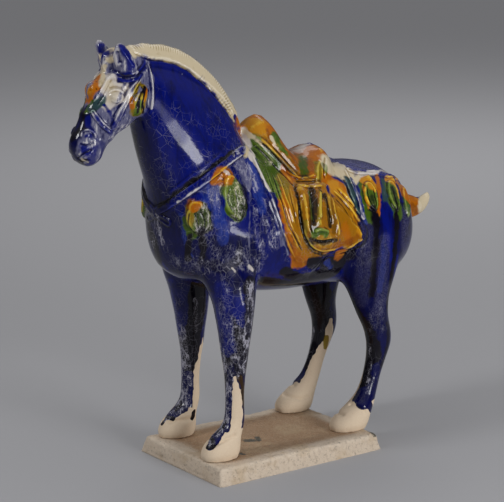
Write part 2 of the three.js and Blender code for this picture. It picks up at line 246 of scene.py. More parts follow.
def addEars(piece):
    built = bmesh.new()
    built.from_mesh(piece.data)
    foot, tip = Vector(earMake["foot"]), Vector(earMake["tip"])
    facing = Vector(earMake["facing"]).normalized()
    sideways = facing.cross(tip - foot).normalized()
    figure = Matrix.Translation(Vector(figureOrigin)) @ Matrix.Scale(figureUnit, 4)
    for side in (1, -1):
        rings = []
        for share, half, thick in earMake["rows"]:
            middle, across, through = foot.lerp(tip, share), sideways * half, facing * thick
            row = Matrix(((*across, 0), (*through, 0), (0, 0, 1, 0), (*middle, 1))).transposed()
            row = figure @ Matrix.Diagonal((side, 1, 1, 1)) @ row
            circle = {"segments": earMake["sides"], "radius": 1, "cap_ends": share in (0, 1)}
            spots = bmesh.ops.create_circle(built, matrix=row, **circle)["verts"]
            rings.append(list(dict.fromkeys(edge for spot in spots for edge in spot.link_edges)))
        for lower, upper in zip(rings, rings[1:]):
            bmesh.ops.bridge_loops(built, edges=lower + upper)
    bmesh.ops.recalc_face_normals(built, faces=built.faces)
    built.to_mesh(piece.data)
    built.free()
    return piece


def skinBase():
    solid = addEars(solidCopy("horse", "horse"))
    piece = modified(solid, "REMESH", mode="VOXEL", voxel_size=skinMake["voxel"])
    mesh = piece.data
    places, normals, links = readPlaces(mesh), readNormals(mesh), readLinks(mesh)
    first, second = links[:, 0], links[:, 1]
    level = mirrored(places)
    x, y, z = level.T
    # creases of the dressing stay, and those where the limbs meet the trunk go
    turned = 1 - np.einsum("ij,ij->i", normals[first], normals[second])
    limb = np.zeros(len(places))
    for top, foot, reach in skinMake["limbTops"]:
        gap, _ = toPath(level, [top, foot])
        limb = np.maximum(limb, 1 - smoothStep(gap, reach * 0.75, reach))
    limb = np.maximum(limb, smoothStep(-z, *skinMake["legsUpTo"]))
    limb *= 1 - smoothStep(z, *skinMake["limbsUpTo"])
    front, lean = skinMake["blanketFront"]
    blanket = smoothStep(y - (front + (250 - z) * lean), -8, -2)
    blanket *= smoothStep(skinMake["blanketBack"] - y, -4, 4)
    limb *= 1 - blanket * smoothStep(z, *skinMake["blanketHem"])
    keeps = np.exp(-turned / skinMake["creaseKeeps"])
    both = 0.5 * (limb[first] + limb[second])
    pull = both + (1 - both) * keeps + 1e-3
    once = evened(places, links, pull, skinMake["rounds"])
    twice = once + evened(places - once, links, pull, skinMake["rounds"])
    detail = evened(places - twice, links, keeps + 1e-3, skinMake["detailRounds"])
    head = smoothStep(-y, *skinMake["headForward"]) * smoothStep(z, *skinMake["headUp"])
    off = np.linalg.norm(detail, axis=1) * (1 + head)
    stands = smoothStep(off, *skinMake["detailFrom"]) * (1 - limb)
    even = np.ones(len(links))
    ears = smoothStep(-y, *skinMake["earForward"]) * smoothStep(z, *skinMake["earUp"])
    ears *= smoothStep(x, *skinMake["earOut"])
    light = evened(places, links, even, skinMake["earRounds"])
    light += evened(places - light, links, even, skinMake["earRounds"])
    places = evened(twice + detail * stands[:, None], links, even, skinMake["lastRounds"])
    places += (light - places) * ears[:, None]
    places[:, 2] = np.where(z < skinMake["sole"], 0, places[:, 2])
    writePlaces(mesh, places)
    return modified(piece, "SUBSURF", levels=1, render_levels=1)


skin = skinBase()
print("skin:", len(skin.data.vertices), "vertices")

# Both sides are carved and glazed alike, so every brush works on the distance from the middle plane,
# with each leg moved back by the millimetres that it stands forward of or behind its pair
stance = {
    "foreLeft": -3,
    "foreRight": 3.5,
    "hindLeft": 1,
    "hindRight": -2.5,
    "hindFrom": 20,       # the hind legs stand further back than this
    "fade": (150, 80),    # the height where it begins, and where it is whole
}


def paired(places):
    x, y, z = places.T
    fore = y < stance["hindFrom"]
    left = np.where(fore, stance["foreLeft"], stance["hindLeft"])
    right = np.where(fore, stance["foreRight"], stance["hindRight"])
    top, foot = stance["fade"]
    moved = np.where(x > 0, left, right) * smoothStep(top - z, 0, top - foot)
    return np.column_stack([np.abs(x), y - moved, z])


skinLinks = readLinks(skin.data)
shape = readPlaces(skin.data)
level = paired(shape)


def skinTree(mesh):
    places = [Vector(place) for place in toFrame(readPlaces(mesh))]
    return BVHTree.FromPolygons(places, [face.vertices[:] for face in mesh.polygons])


castTree = skinTree(skin.data)
nearPasses = range(34, 48)    # where a ray passes the horse, in fortieths of the camera's distance


def hits(spots):
    # the places on the skin that lie behind pixels of the photograph
    found = []
    for across, down in spots:
        ray = cameraRight * (across - photo["centreX"]) - cameraUp * (down - photo["centreY"])
        ray = (ray / photo["focal"] - cameraBack).normalized()
        hit = castTree.ray_cast(cameraPlace, ray)[0]
        if hit is None:
            # just off the outline: the skin's place that the ray passes nearest
            steps = [cameraPlace + ray * view["distance"] * k / 40 for k in nearPasses]
            hit = min([castTree.find_nearest(step) for step in steps], key=lambda near: near[3])[0]
        found.append(toFigure(hit))
    return np.array(found)


def trace(spots):
    return rounded(paired(hits(spots)))


def nearLine(line, reach):
    # the skin's vertices within reach of a line, their distance and how far along they are
    low, high = line.min(0) - reach, line.max(0) + reach
    chosen = np.flatnonzero(((level > low) & (level < high)).all(1))
    gap, share = toPath(level[chosen], line)
    near = gap < reach
    return chosen[near], gap[near], share[near]


# Relief: shape, width and height in millimetres, then its line by the photograph's pixels
faceRelief = [
    ("ridge", 2.6, 1.0, [(109, 93), (113, 90.5), (119, 90.5), (124.5, 94)]),
    ("ridge", 2.4, 0.5, [(111, 99.5), (116, 102), (122, 99)]),
    ("dome", 9.5, 1.6, [(117.5, 96)]),
    ("ridge", 4, -0.8, [(108, 88), (115, 86.5), (123, 88)]),
    ("ridge", 5, 0.8, [(106, 80), (113, 77), (122, 79)]),
    ("strap", 4.4, 1.2, [(139, 79), (134, 87), (128, 98), (121, 112), (114, 127)]),
    ("ridge", 2.4, -0.9, [(132, 80), (126, 91), (119, 106), (111, 120)]),
    ("strap", 3.6, 1.3, [(93, 112), (97, 118), (103, 125), (110, 131)]),
    ("dome", 7, 1.2, [(110, 134)]),
    ("ridge", 2.4, 1.3, [(81, 138), (82.5, 132), (88, 130), (94, 133), (96, 139)]),
    ("dome", 7.5, -2.2, [(88.5, 137)]),
    ("ridge", 2.6, -0.9, [(79, 143), (86, 145), (95, 142)]),
    ("ridge", 2, -1.4, [(77, 159), (83, 154), (89, 151), (93, 149)]),
    ("ridge", 3.4, 0.7, [(78, 155), (84, 149.5), (91, 146.5)]),
    ("ridge", 3.4, 0.8, [(80, 162), (86, 157), (92, 154)]),
    ("dome", 9, 0.9, [(86, 165)]),
    ("ridge", 4, 0.6, [(127, 113), (117, 121), (111, 132)]),
    ("ridge", 3.2, 1.5, [(115, 72), (121, 74.5), (128, 75), (135, 73), (141, 68.5), (145, 62), (146, 57)]),
    ("ridge", 2, -0.8, [(117, 76), (124, 78), (132, 77), (139, 73), (144, 67)]),
    ("ridge", 2.8, 1.1, [(119, 80), (126, 81.5), (134, 80), (142, 74)]),
    ("dome", 13, 0.9, [(95.5, 84)]),
    ("ridge", 1.8, -0.9, [(89, 82), (97, 90)]),
    ("ridge", 1.8, -0.9, [(97, 81), (90, 91)]),
    ("ridge", 2.8, 0.8, [(109, 76), (104, 86), (99, 96), (92.5, 103)]),
    ("ridge", 2, -0.6, [(112, 78), (107, 88), (102, 98), (96, 106)]),
    ("ridge", 3, 0.5, [(107, 60), (103, 66), (99, 73)]),
    ("ridge", 1.8, -1.0, [(143, 86), (135, 96), (131, 104)]),
    ("ridge", 1.8, -1.0, [(145, 86), (139, 99), (136, 109)]),
    ("ridge", 1.8, -1.0, [(146.5, 87), (143, 101), (141.5, 112)]),
    ("ridge", 1.8, -1.0, [(148, 88), (147.5, 101), (147, 110)]),
    ("ridge", 3, 1.1, [(147, 61), (151, 75), (152.5, 90), (151.5, 108), (148, 117)]),
    ("ridge", 2, 0.7, [(113, 61), (115, 51), (118, 45)]),
    ("ridge", 2.4, 0.8, [(119, 46), (126, 56), (134, 68)]),
    ("ridge", 6, -1.5, [(117, 50), (118, 57), (120, 64)]),
]
legRelief = [
    ("dome", 12, 4.6, [(246, 427)]),
    ("ridge", 5, -2.0, [(242, 433), (235, 435.5), (226, 439), (217, 444), (208, 450)]),
    ("dome", 26, 1.6, [(226, 449)]),
    ("dome", 10, 3.6, [(199, 412)]),
    ("ridge", 5, -2.2, [(195, 418), (185, 419.5), (175, 420), (166, 424)]),
    ("dome", 9, 3.2, [(316, 389)]),
    ("ridge", 6, -1.5, [(311, 396), (301, 399), (290, 396.5), (280, 392)]),
    ("dome", 10, 3.4, [(371, 411)]),
    ("ridge", 6, -1.4, [(367, 415), (362, 409), (355, 405), (348, 404)]),
    ("dome", 30, 1.8, [(345, 420)]),
]
maneRelief = [
    ("comb", 8, 0.38, [(122, 46), (140, 45.5), (155, 46.5), (170, 49), (184, 54), (197, 61), (210, 72),
                       (222, 85), (231, 98), (236, 109)]),
    ("strap", 13, 0.9, [(136, 47), (150, 51), (163, 52), (177, 56), (190, 63), (203, 73), (216, 85),
                        (227, 98), (234, 110)]),
    ("ridge", 2.4, -1.1, [(139, 57), (150, 60), (163, 61), (175, 64), (186, 69), (196, 77), (207, 87),
                          (218, 99), (228, 112), (234, 122)]),
]
harnessRelief = [
    ("strap", 6.8, 1.5, [(243, 150), (232, 158), (220, 168), (206, 179), (192, 189), (178, 198),
                         (165, 207), (155, 213), (149, 217)]),
    ("ridge", 2.6, -1.0, [(229, 154), (214, 165), (198, 178), (184, 188), (170, 199), (160, 206)]),
    ("ridge", 3, 0.8, [(224, 152), (209, 164), (194, 175), (180, 185), (166, 195)]),
    ("leaf", 25, 1.6, [(231, 183), (235, 199), (239, 217)]),
    ("dome", 17, 3.6, [(225, 174)]),
    ("ridge", 1.8, -0.9, [(219, 171), (231, 178)]),
    ("ridge", 1.8, -0.9, [(228, 168), (222, 181)]),
    ("ridge", 1.5, -0.9, [(229, 188), (227, 200), (232, 211)]),
    ("ridge", 1.5, -0.9, [(234, 187), (236, 201), (238, 214)]),
    ("ridge", 1.5, -0.9, [(239, 187), (245, 199), (243, 210)]),
    ("dome", 10, 2.6, [(194, 204)]),
    ("leaf", 22, 1.5, [(196, 208), (199, 221), (201, 233)]),
    ("ridge", 1.5, -0.9, [(190, 212), (189, 224), (193, 231)]),
    ("ridge", 1.5, -0.9, [(195, 212), (197, 222), (198, 231)]),
    ("ridge", 1.5, -0.9, [(200, 211), (204.5, 221), (203, 229)]),
    ("strap", 5, 1.3, [(349, 170), (358, 172), (368, 172.5), (380, 173), (390, 176), (399, 181),
                       (407, 191)]),
    ("dome", 11, 2.4, [(370, 182.5)]),
    ("leaf", 15, 1.6, [(369, 186), (371, 196), (375, 210)]),
    ("ridge", 1.4, -0.9, [(366, 188), (368, 199), (373, 208)]),
    ("ridge", 1.4, -0.9, [(372, 188), (374, 198), (376, 208)]),
    ("dome", 9, 2.0, [(390, 180.5)]),
    ("leaf", 13, 1.5, [(391, 184), (394, 196), (397, 210)]),
    ("ridge", 1.4, -0.9, [(391, 186), (394, 198), (397, 208)]),
    ("dome", 7, 1.6, [(401, 185)]),
    ("leaf", 10, 1.2, [(404, 190), (407, 203), (408, 216)]),
]
saddleRelief = [
    ("ridge", 4.6, 1.8, [(254, 135), (267, 145), (280, 159), (292, 172), (301, 181)]),
    ("ridge", 1.6, -1.3, [(258, 140), (270, 151), (282, 164), (292, 175)]),
    ("ridge", 3.4, -1.1, [(251, 143), (262, 152), (275, 166), (288, 179), (297, 188)]),
    ("ridge", 2.4, 0.9, [(286, 169), (294, 176.5), (306, 177.5), (316, 174)]),
    ("ridge", 6, 1.3, [(321, 159), (317.5, 168), (317, 178), (317, 185)]),
    ("dome", 15, 1.5, [(313, 152)]),
    ("ridge", 2.6, -1.0, [(325, 156), (324, 168), (325, 180)]),
    ("ridge", 2.6, -1.5, [(271, 172), (278, 190), (284, 206), (290, 226), (297, 240), (303, 252)]),
    ("ridge", 3, 0.9, [(276, 172), (283, 190), (289, 206), (295, 226)]),
    ("ridge", 2, -0.7, [(287, 184), (292, 202), (296, 220)]),
    ("ridge", 2, -0.7, [(261, 158), (269, 178), (275, 196)]),
    ("ridge", 3, 1.2, [(250, 150), (258, 168), (266, 186), (273, 202), (281, 224), (289, 246), (299, 264)]),
    ("ridge", 3, -1.8, [(297, 190), (299, 205), (301, 222), (305, 238), (313, 249), (324, 254)]),
    ("ridge", 5, 1.4, [(303, 191), (306, 208), (308, 226), (313, 240)]),
    ("ridge", 4, -1.5, [(311, 191), (313, 208), (314, 226)]),
    ("ridge", 4.6, 1.8, [(320, 190), (320, 205), (320.5, 219)]),
    ("ridge", 4, 1.6, [(314.5, 232), (321, 229.5), (329, 232)]),
    ("ridge", 3, -1.2, [(326, 195), (329, 210), (331.5, 225)]),
    ("ridge", 4, 1.4, [(329, 192), (334, 209), (338, 226), (338, 238)]),
    ("ridge", 3.6, -2.2, [(313, 240), (322, 242), (334, 240)]),
    ("ridge", 3, 1.2, [(308, 241), (314, 248), (325, 250.5), (340, 248)]),
    ("ridge", 2.6, 1.3, [(331, 188), (341, 198), (351, 209), (359, 221), (363, 232), (361, 240),
                         (352, 246), (338, 250)]),
    ("ridge", 1.8, -0.7, [(335, 198), (346, 211), (354, 224)]),
    ("ridge", 2.6, -1.6, [(334, 186), (345, 197), (355, 209), (363, 221), (368, 233), (364, 245),
                          (352, 251), (336, 255)]),
    ("ridge", 3, 1.7, [(294, 186), (305, 186), (318, 186), (328, 186)]),
    ("ridge", 2, -0.9, [(295, 181.5), (306, 181.5), (317, 181)]),
    ("ridge", 2.6, 1.0, [(328, 157), (338, 163), (347, 174), (353, 187), (358, 200), (361, 214)]),
    ("ridge", 3, -1.1, [(343, 178), (349, 192), (356, 210)]),
]
combPitch = 2.3    # millimetres from one groove of the mane's edge to the next


def brushRise(kind, gap, share, width, length):
    edge = gap / (width / 2)
    if kind == "comb":
        return np.cos(2 * np.pi * share * length / combPitch) * np.clip(1 - edge ** 2, 0, 1)
    if kind == "strap":
        flat = 1 - smoothStep(edge, 0.75, 1.15)
        return flat * (0.55 + 0.45 * np.exp(-((edge - 0.72) / 0.28) ** 2))
    if kind == "leaf":
        body = np.maximum(np.sin(np.pi * np.clip(0.15 + 0.82 * share, 0, 1)), 0.05) ** 0.7
        return 1 - smoothStep(edge / body, 0.7, 1.1)
    if kind == "dome":
        return np.sqrt(np.clip(1 - edge ** 2, 0, 1)) * smoothStep(1 - edge, 0, 0.25)
    ends = smoothStep(share, 0, 0.12) * smoothStep(1 - share, 0, 0.12)
    return np.exp(-2.4 * edge ** 2) * ends


def carve(brushes):
    normals = readNormals(skin.data)
    rise = np.zeros(len(shape))
    for kind, width, height, spots in brushes:
        line = trace(spots)
        length = np.linalg.norm(np.diff(line, axis=0), axis=1).sum()
        chosen, gap, share = nearLine(line, width * 0.95)
        rise[chosen] += height * brushRise(kind, gap, share, width, length)
    return rise[:, None] * normals


for brushes in (faceRelief, maneRelief, harnessRelief, saddleRelief, legRelief):
    shape = shape + carve(brushes)
writePlaces(skin.data, evened(shape, skinLinks, np.ones(len(skinLinks)), 1))
print("relief carved")


# Glazes: each brush covers what is under it. Colour, width in millimetres, strength, line by pixels;
# a stroke marked alone isn't repeated on the other side
faceGlaze = [
    ("mist", 36, 1, [(118, 54), (124, 70), (118, 92), (108, 112), (94, 134), (85, 158)]),
    ("mist", 26, 1, [(136, 58), (142, 78), (140, 100), (126, 119), (112, 130)]),
    ("mist", 22, 1, [(103, 58), (98, 78), (92, 98), (84, 122)]),
    ("navy", 11, 1, [(86, 112), (77, 122), (71, 138), (72, 152), (78, 162)]),
    ("dark", 6, 0.8, [(84, 112), (76, 124), (72, 138)]),
    ("dark", 3, 0.9, [(76, 161), (83, 166), (91, 167)]),
    ("cobalt", 8, 0.7, [(84, 150), (92, 158), (90, 166)]),
    ("cobalt", 6, 0.6, [(98, 140), (103, 148), (100, 158)]),
    ("cream", 1.8, 0.6, [(82, 159), (88, 162)]),
    ("cobalt", 5, 0.8, [(88, 118), (89, 126), (93, 130)]),
    ("cobalt", 4, 0.8, [(96, 116), (101, 124), (107, 131)]),
    ("cobalt", 6, 0.7, [(83, 147), (90, 150), (97, 147)]),
    ("cobalt", 4, 0.8, [(86, 136), (91, 136)]),
    ("cobalt", 5, 0.7, [(124, 112), (118, 120), (110, 132)]),
    ("cream", 9, 0.9, [(110, 48), (110, 58)]),
    ("cream", 7, 0.8, [(124, 50), (133, 54)]),
    ("cream", 4, 0.8, [(105, 66), (101, 76)]),
    ("pale", 15, 1, [(110, 82), (118, 84), (122, 92)]),
    ("pale", 12, 1, [(108, 90), (116, 98), (108, 103)]),
    ("cream", 9, 0.6, [(108, 84), (113, 92), (110, 100)]),
    ("amber", 8, 1, [(99, 79), (96, 86), (91, 94)]),
    ("cream", 4, 0.8, [(103, 76), (100, 85)]),
    ("amber", 5, 0.8, [(91, 95), (89, 101)]),
    ("green", 5, 0.9, [(93, 103), (87, 112)]),
    ("teal", 7, 0.9, [(103, 99), (97, 104), (91, 110)]),
    ("cobalt", 5, 1, [(115, 71), (122, 75), (131, 75), (139, 72), (144, 65), (146, 58)]),
    ("dark", 2.4, 0.8, [(118, 72.5), (126, 75.5), (134, 74)]),
    ("cobalt", 3.4, 0.9, [(119, 80), (131, 81), (142, 74)]),
    ("cobalt", 7, 0.95, [(121, 47), (128, 56), (133, 66)]),
    ("mist", 6, 0.9, [(116, 50), (119, 63)]),
    ("cobalt", 8, 0.8, [(101, 45), (103, 54)]),
    ("cobalt", 2.6, 0.7, [(132, 83), (125, 95), (117, 108)]),
    ("olive", 15, 1, [(141, 92), (139, 108)]),
    ("green", 8, 0.9, [(140, 104), (138, 112)]),
    ("amber", 4, 0.8, [(132, 99), (132, 107)]),
    ("amber", 3, 1, [(146, 90), (144.5, 101)]),
    ("dark", 2.4, 0.9, [(142, 90), (139, 101), (138, 112)]),
    ("dark", 2.4, 0.9, [(145, 88), (143, 101), (143, 113)]),
    ("mist", 2.4, 0.8, [(140, 88), (136, 100)]),
    ("mist", 4, 1, [(147, 62), (151, 75), (152, 90), (151, 108)]),
    ("cream", 9, 0.85, [(127, 47), (138, 50), (150, 53)]),
    ("mist", 3, 0.8, [(125, 84), (120, 98), (112, 112)]),
    ("cobalt", 3, 0.7, [(105, 106), (110, 113), (113, 122)]),
]
neckGlaze = [
    ("navy", 26, 0.6, [(140, 130), (150, 165), (158, 200)]),
    # painted shade on the far side of the neck
    ("dark", 12, 0.8, [(130, 124), (136, 150), (141, 175), (146, 205)], "alone"),
    ("cream", 15, 1, [(120, 47), (135, 47), (150, 49), (165, 51), (180, 56), (193, 64), (206, 75),
                      (218, 88), (228, 101), (235, 112)]),
    ("cream", 7, 1, [(238, 112), (241, 122), (245, 133), (247, 145), (245, 154)]),
    ("cobalt", 3.4, 1, [(234, 116), (238, 127), (238, 135)]),
    ("cobalt", 3.4, 0.9, [(244, 138), (240, 147)]),
]
chestGlaze = [
    ("navy", 50, 0.8, [(170, 240), (195, 262), (235, 265)]),
    ("navy", 24, 0.4, [(205, 225), (212, 245)]),
    ("navy", 30, 0.4, [(270, 215), (275, 250)]),
    # painted shade in the crease above the breast strap, and a painted highlight along its lower edge
    ("dark", 4, 0.9, [(232, 153), (216, 164), (200, 176), (186, 186), (172, 197), (160, 206)]),
    ("mist", 1.8, 0.8, [(241, 156), (230, 163), (219, 172), (206, 183), (192, 193), (178, 202)]),
    ("bright", 17, 0.7, [(209, 192), (213, 204), (217, 216)]),
    ("bright", 10, 0.7, [(221, 222), (223, 240)]),
    ("bright", 9, 0.8, [(254, 172), (259, 196), (262, 210)]),
    ("bright", 5, 0.6, [(181, 214), (186, 240), (190, 256)]),
    ("mist", 3, 0.5, [(272, 200), (277, 222), (282, 244)]),
    ("mist", 9, 0.6, [(240, 160), (244, 172), (247, 184)]),
    ("green", 21, 1, [(232, 190), (237, 208)]),
    ("dark", 9, 0.6, [(243, 190), (245, 202), (243, 211)]),
    ("dark", 14, 0.35, [(234, 200), (238, 212)]),
    ("amber", 15, 1, [(222, 176), (228, 175)]),
    ("gold", 9, 0.8, [(226, 175)]),
    ("amber", 7, 0.9, [(213, 180), (222, 173)]),
    # painted highlight on the boss
    ("pale", 2.4, 0.7, [(225, 171), (229, 174)]),
    ("green", 18, 1, [(197, 213), (199, 226)]),
    ("dark", 14, 0.55, [(203, 212), (205, 228)]),
    ("olive", 7, 1, [(188, 209), (189, 222)]),
    ("green", 6, 0.9, [(185, 220), (188, 230), (191, 237)]),
    ("amber", 8, 1, [(191, 204), (196, 206)]),
    ("gold", 5, 0.9, [(194, 204)]),
    ("mist", 1.4, 0.6, [(249, 168), (250, 200), (249, 236), (251, 262)]),
    ("dark", 5, 0.9, [(190, 236), (188, 246), (188, 258)]),
    ("dark", 6, 0.9, [(201, 230), (203, 244), (202, 256)]),
    # painted shade on the far side of the chest and along its underside
    ("dark", 12, 0.8, [(146, 214), (151, 236), (162, 256), (184, 272)], "alone"),
    ("dark", 10, 0.5, [(204, 262), (222, 268), (236, 262)], "alone"),
    ("dark", 7, 0.5, [(240, 244), (241, 262)], "alone"),
    ("dark", 12, 0.85, [(285, 272), (300, 277), (330, 269), (356, 257)]),
    ("dark", 14, 0.85, [(262, 281), (285, 284), (308, 282), (334, 273)]),
    ("pale", 2.6, 0.7, [(249, 266), (253, 270)]),
    ("pale", 2, 0.5, [(232, 268), (235, 271)]),
]
saddleGlaze = [
    ("amber", 46, 1, [(264, 124), (277, 146), (294, 168), (312, 160)]),
    ("gold", 12, 0.8, [(259, 122), (264, 134)]),
    ("amber", 17, 1, [(284, 194), (289, 212), (294, 230), (301, 252), (302, 262)]),
    ("amber", 12, 1, [(293, 196), (297, 216), (302, 238)]),
    ("green", 24, 1, [(259, 146), (266, 160), (273, 172)]),
    ("green", 16, 1, [(264, 166), (268, 176), (272, 184)]),
    ("green", 8, 0.8, [(274, 182), (278, 194)]),
    ("olive", 14, 1, [(282, 180), (289, 190), (295, 202)]),
    ("umber", 2, 0.7, [(283, 206), (288, 226), (296, 246)]),
    ("rust", 9, 0.5, [(294, 246), (300, 256), (305, 264)]),
    ("bright", 9, 0.7, [(250, 163), (256, 177), (262, 192)]),
    ("pale", 6, 1, [(243, 130), (247, 144), (251, 158)]),
    ("pale", 2.6, 1, [(252, 158), (259, 170), (264, 180), (270, 191)]),
    ("mist", 1.8, 0.9, [(271, 193), (275, 205), (279, 219), (283, 236), (288, 254)]),
    ("gold", 10, 0.7, [(249, 122), (256, 128), (264, 134)]),
    ("cream", 4, 0.8, [(243, 131), (252, 137), (262, 144)]),
    ("rust", 5, 0.7, [(267, 130), (270, 137)]),
    ("green", 9, 1, [(275, 136), (284, 152), (295, 170)]),
    ("cream", 3, 0.8, [(271, 137), (275, 145)]),
    ("cream", 2, 0.6, [(258, 141), (268, 151)]),
    ("honey", 6, 1, [(264, 140), (275, 150), (288, 163), (297, 175)]),
    ("umber", 1.8, 0.9, [(263, 144), (275, 155), (288, 168), (296, 177)]),
    ("pale", 10, 0.7, [(288, 148), (303, 146)]),
    ("rust", 8, 0.8, [(291, 156), (297, 168)]),
    ("umber", 14, 0.6, [(303, 160), (305, 174)]),
    ("green", 12, 0.5, [(300, 157), (304, 172)]),
    ("rust", 6, 0.8, [(312, 160), (312, 170)]),
    ("amber", 10, 0.8, [(316, 149), (319, 159)]),
    ("olive", 8, 1, [(319, 165), (319, 175), (318, 186)]),
    ("cream", 18, 1, [(329, 162), (338, 167), (347, 175)]),
    ("cream", 10, 1, [(329, 168), (338, 173), (346, 179)]),
    ("amber", 10, 1, [(328, 181), (336, 184), (343, 190)]),
    ("green", 4, 0.6, [(324, 164), (326, 174)]),
    ("gold", 13, 1, [(334, 187), (342, 197), (348, 206)]),
    ("teal", 8, 1, [(347, 180), (352, 194), (357, 210)]),
    ("mist", 3, 1, [(351, 178), (357, 192), (361, 208), (364, 218)]),
    ("dark", 2.4, 0.9, [(344, 180), (350, 194), (356, 211)]),
    ("umber", 9, 0.9, [(299, 183), (312, 183), (324, 183)]),
    ("honey", 46, 1, [(314, 200), (318, 222), (322, 236)]),
    ("honey", 24, 1, [(341, 208), (352, 226), (351, 236)]),
    ("gold", 8, 0.8, [(346, 200), (354, 214), (361, 232)]),
    ("amber", 10, 0.7, [(345, 228), (348, 238)]),
    ("umber", 10, 0.95, [(312, 192), (313, 210), (312, 232)]),
    ("green", 4, 0.5, [(309, 192), (312, 206), (313, 218)]),
    ("umber", 5, 0.5, [(330, 200), (334, 216), (334, 232)]),
    ("honey", 8, 0.9, [(301, 192), (303, 212), (305, 234)]),
    ("olive", 3, 0.9, [(305, 222), (306, 236), (312, 246)]),
    ("olive", 4, 0.9, [(320, 192), (320, 208), (319, 224)]),
    ("umber", 4, 0.9, [(325, 196), (328, 212), (330, 226)]),
    ("umber", 4, 1, [(311, 240), (322, 243), (336, 240)]),
    ("green", 6, 1, [(315, 233), (321, 231), (327, 233)]),
    ("umber", 2.6, 0.9, [(295, 188), (299, 206), (302, 228), (307, 244), (318, 254), (340, 254)]),
    ("rust", 6, 0.6, [(336, 245), (348, 242), (357, 237)]),
    ("dark", 3, 0.9, [(336, 254), (350, 251), (362, 245), (367, 234)]),
    ("dark", 14, 0.8, [(312, 262), (330, 262), (350, 256)]),
    ("amber", 8, 0.7, [(338, 256), (343, 250)]),
    # painted reflection: a pale blue patch on the belly under the flap
    ("bright", 6, 0.6, [(327, 262), (330, 268)]),
]
rumpGlaze = [
    ("navy", 44, 1, [(362, 225), (366, 250), (372, 285), (370, 325)]),
    ("navy", 40, 1, [(406, 225), (402, 262), (392, 310)]),
    ("bright", 8, 0.4, [(385, 235), (384, 262), (380, 290)]),
    ("cream", 10, 0.9, [(350, 178), (357, 180), (362, 177)]),
    ("pale", 5, 1, [(362, 176), (372, 172), (382, 171), (391, 174)]),
    ("pale", 3.4, 0.7, [(361, 182), (362, 196), (366, 212)]),
    ("bright", 5, 0.6, [(359, 184), (361, 204), (366, 222)]),
    ("green", 16, 1, [(367, 188), (371, 202), (373, 214)]),
    ("dark", 8, 0.6, [(371, 200), (374, 214)]),
    # painted highlight: a thin gold line along the leaf's edge
    ("gold", 2.4, 0.9, [(363, 186), (365, 197), (369, 208)]),
    ("gold", 11, 1, [(367, 181), (372, 185)]),
    ("rust", 4, 0.8, [(370, 183)]),
    ("dark", 7, 0.7, [(372, 210), (376, 222)]),
    ("amber", 5, 1, [(378, 178), (379, 196), (378, 214)]),
    ("teal", 6, 0.9, [(383, 180), (385, 196), (387, 206)]),
    ("cobalt", 9, 1, [(386, 208), (388, 236)]),
    ("green", 12, 1, [(391, 188), (395, 202), (398, 214)]),
    ("gold", 8, 1, [(388, 179), (392, 182)]),
    ("gold", 2, 0.8, [(394, 186), (398, 200)]),
    ("amber", 3.4, 0.9, [(394, 183), (398, 190)]),
    ("dark", 5, 0.7, [(392, 190), (396, 206)]),
    ("green", 7, 1, [(404, 198), (408, 214)]),
    ("amber", 3, 0.9, [(399, 185), (404, 190)]),
    ("dark", 6.5, 1, [(376, 216), (376, 242), (374, 268), (371, 300), (368, 330)]),
    ("dark", 6, 1, [(396, 210), (396, 240), (393, 268), (388, 300), (384, 330)]),
    ("dark", 4, 0.7, [(410, 216), (409, 235)]),
    ("amber", 8, 0.9, [(396, 179), (402, 188), (406, 194)]),
    ("amber", 20, 1, [(407, 195), (412, 202), (416, 209)]),
    ("rust", 8, 0.9, [(412, 207), (417, 211)]),
    ("cream", 15, 1, [(423, 206), (427, 200), (428, 196)]),
]
legGlaze = [
    ("navy", 34, 0.6, [(190, 290), (188, 350), (186, 400)]),
    ("navy", 30, 0.9, [(182, 345), (184, 380), (178, 412)]),
    ("navy", 26, 0.85, [(232, 340), (231, 375), (226, 415), (215, 440)]),
    ("navy", 44, 0.9, [(365, 320), (366, 360), (362, 400)]),
    ("dark", 16, 0.9, [(199, 285), (197, 315), (192, 345), (189, 375)]),
    ("dark", 8, 0.8, [(168, 285), (174, 315), (181, 345)]),
    ("dark", 16, 0.75, [(250, 285), (251, 315), (247, 345), (243, 368)]),
    ("dark", 12, 0.4, [(226, 300), (226, 330), (228, 365), (228, 390)]),
    ("cobalt", 15, 0.6, [(221, 290), (223, 320), (227, 348)]),
    ("dark", 24, 0.95, [(318, 286), (316, 312), (314, 335)]),
    ("dark", 12, 0.95, [(313, 335), (306, 360), (302, 376)]),
    ("dark", 7, 0.5, [(352, 300), (360, 324), (366, 348), (364, 372), (357, 398)]),
    ("dark", 6, 0.7, [(388, 324), (388, 342), (382, 366)]),
]
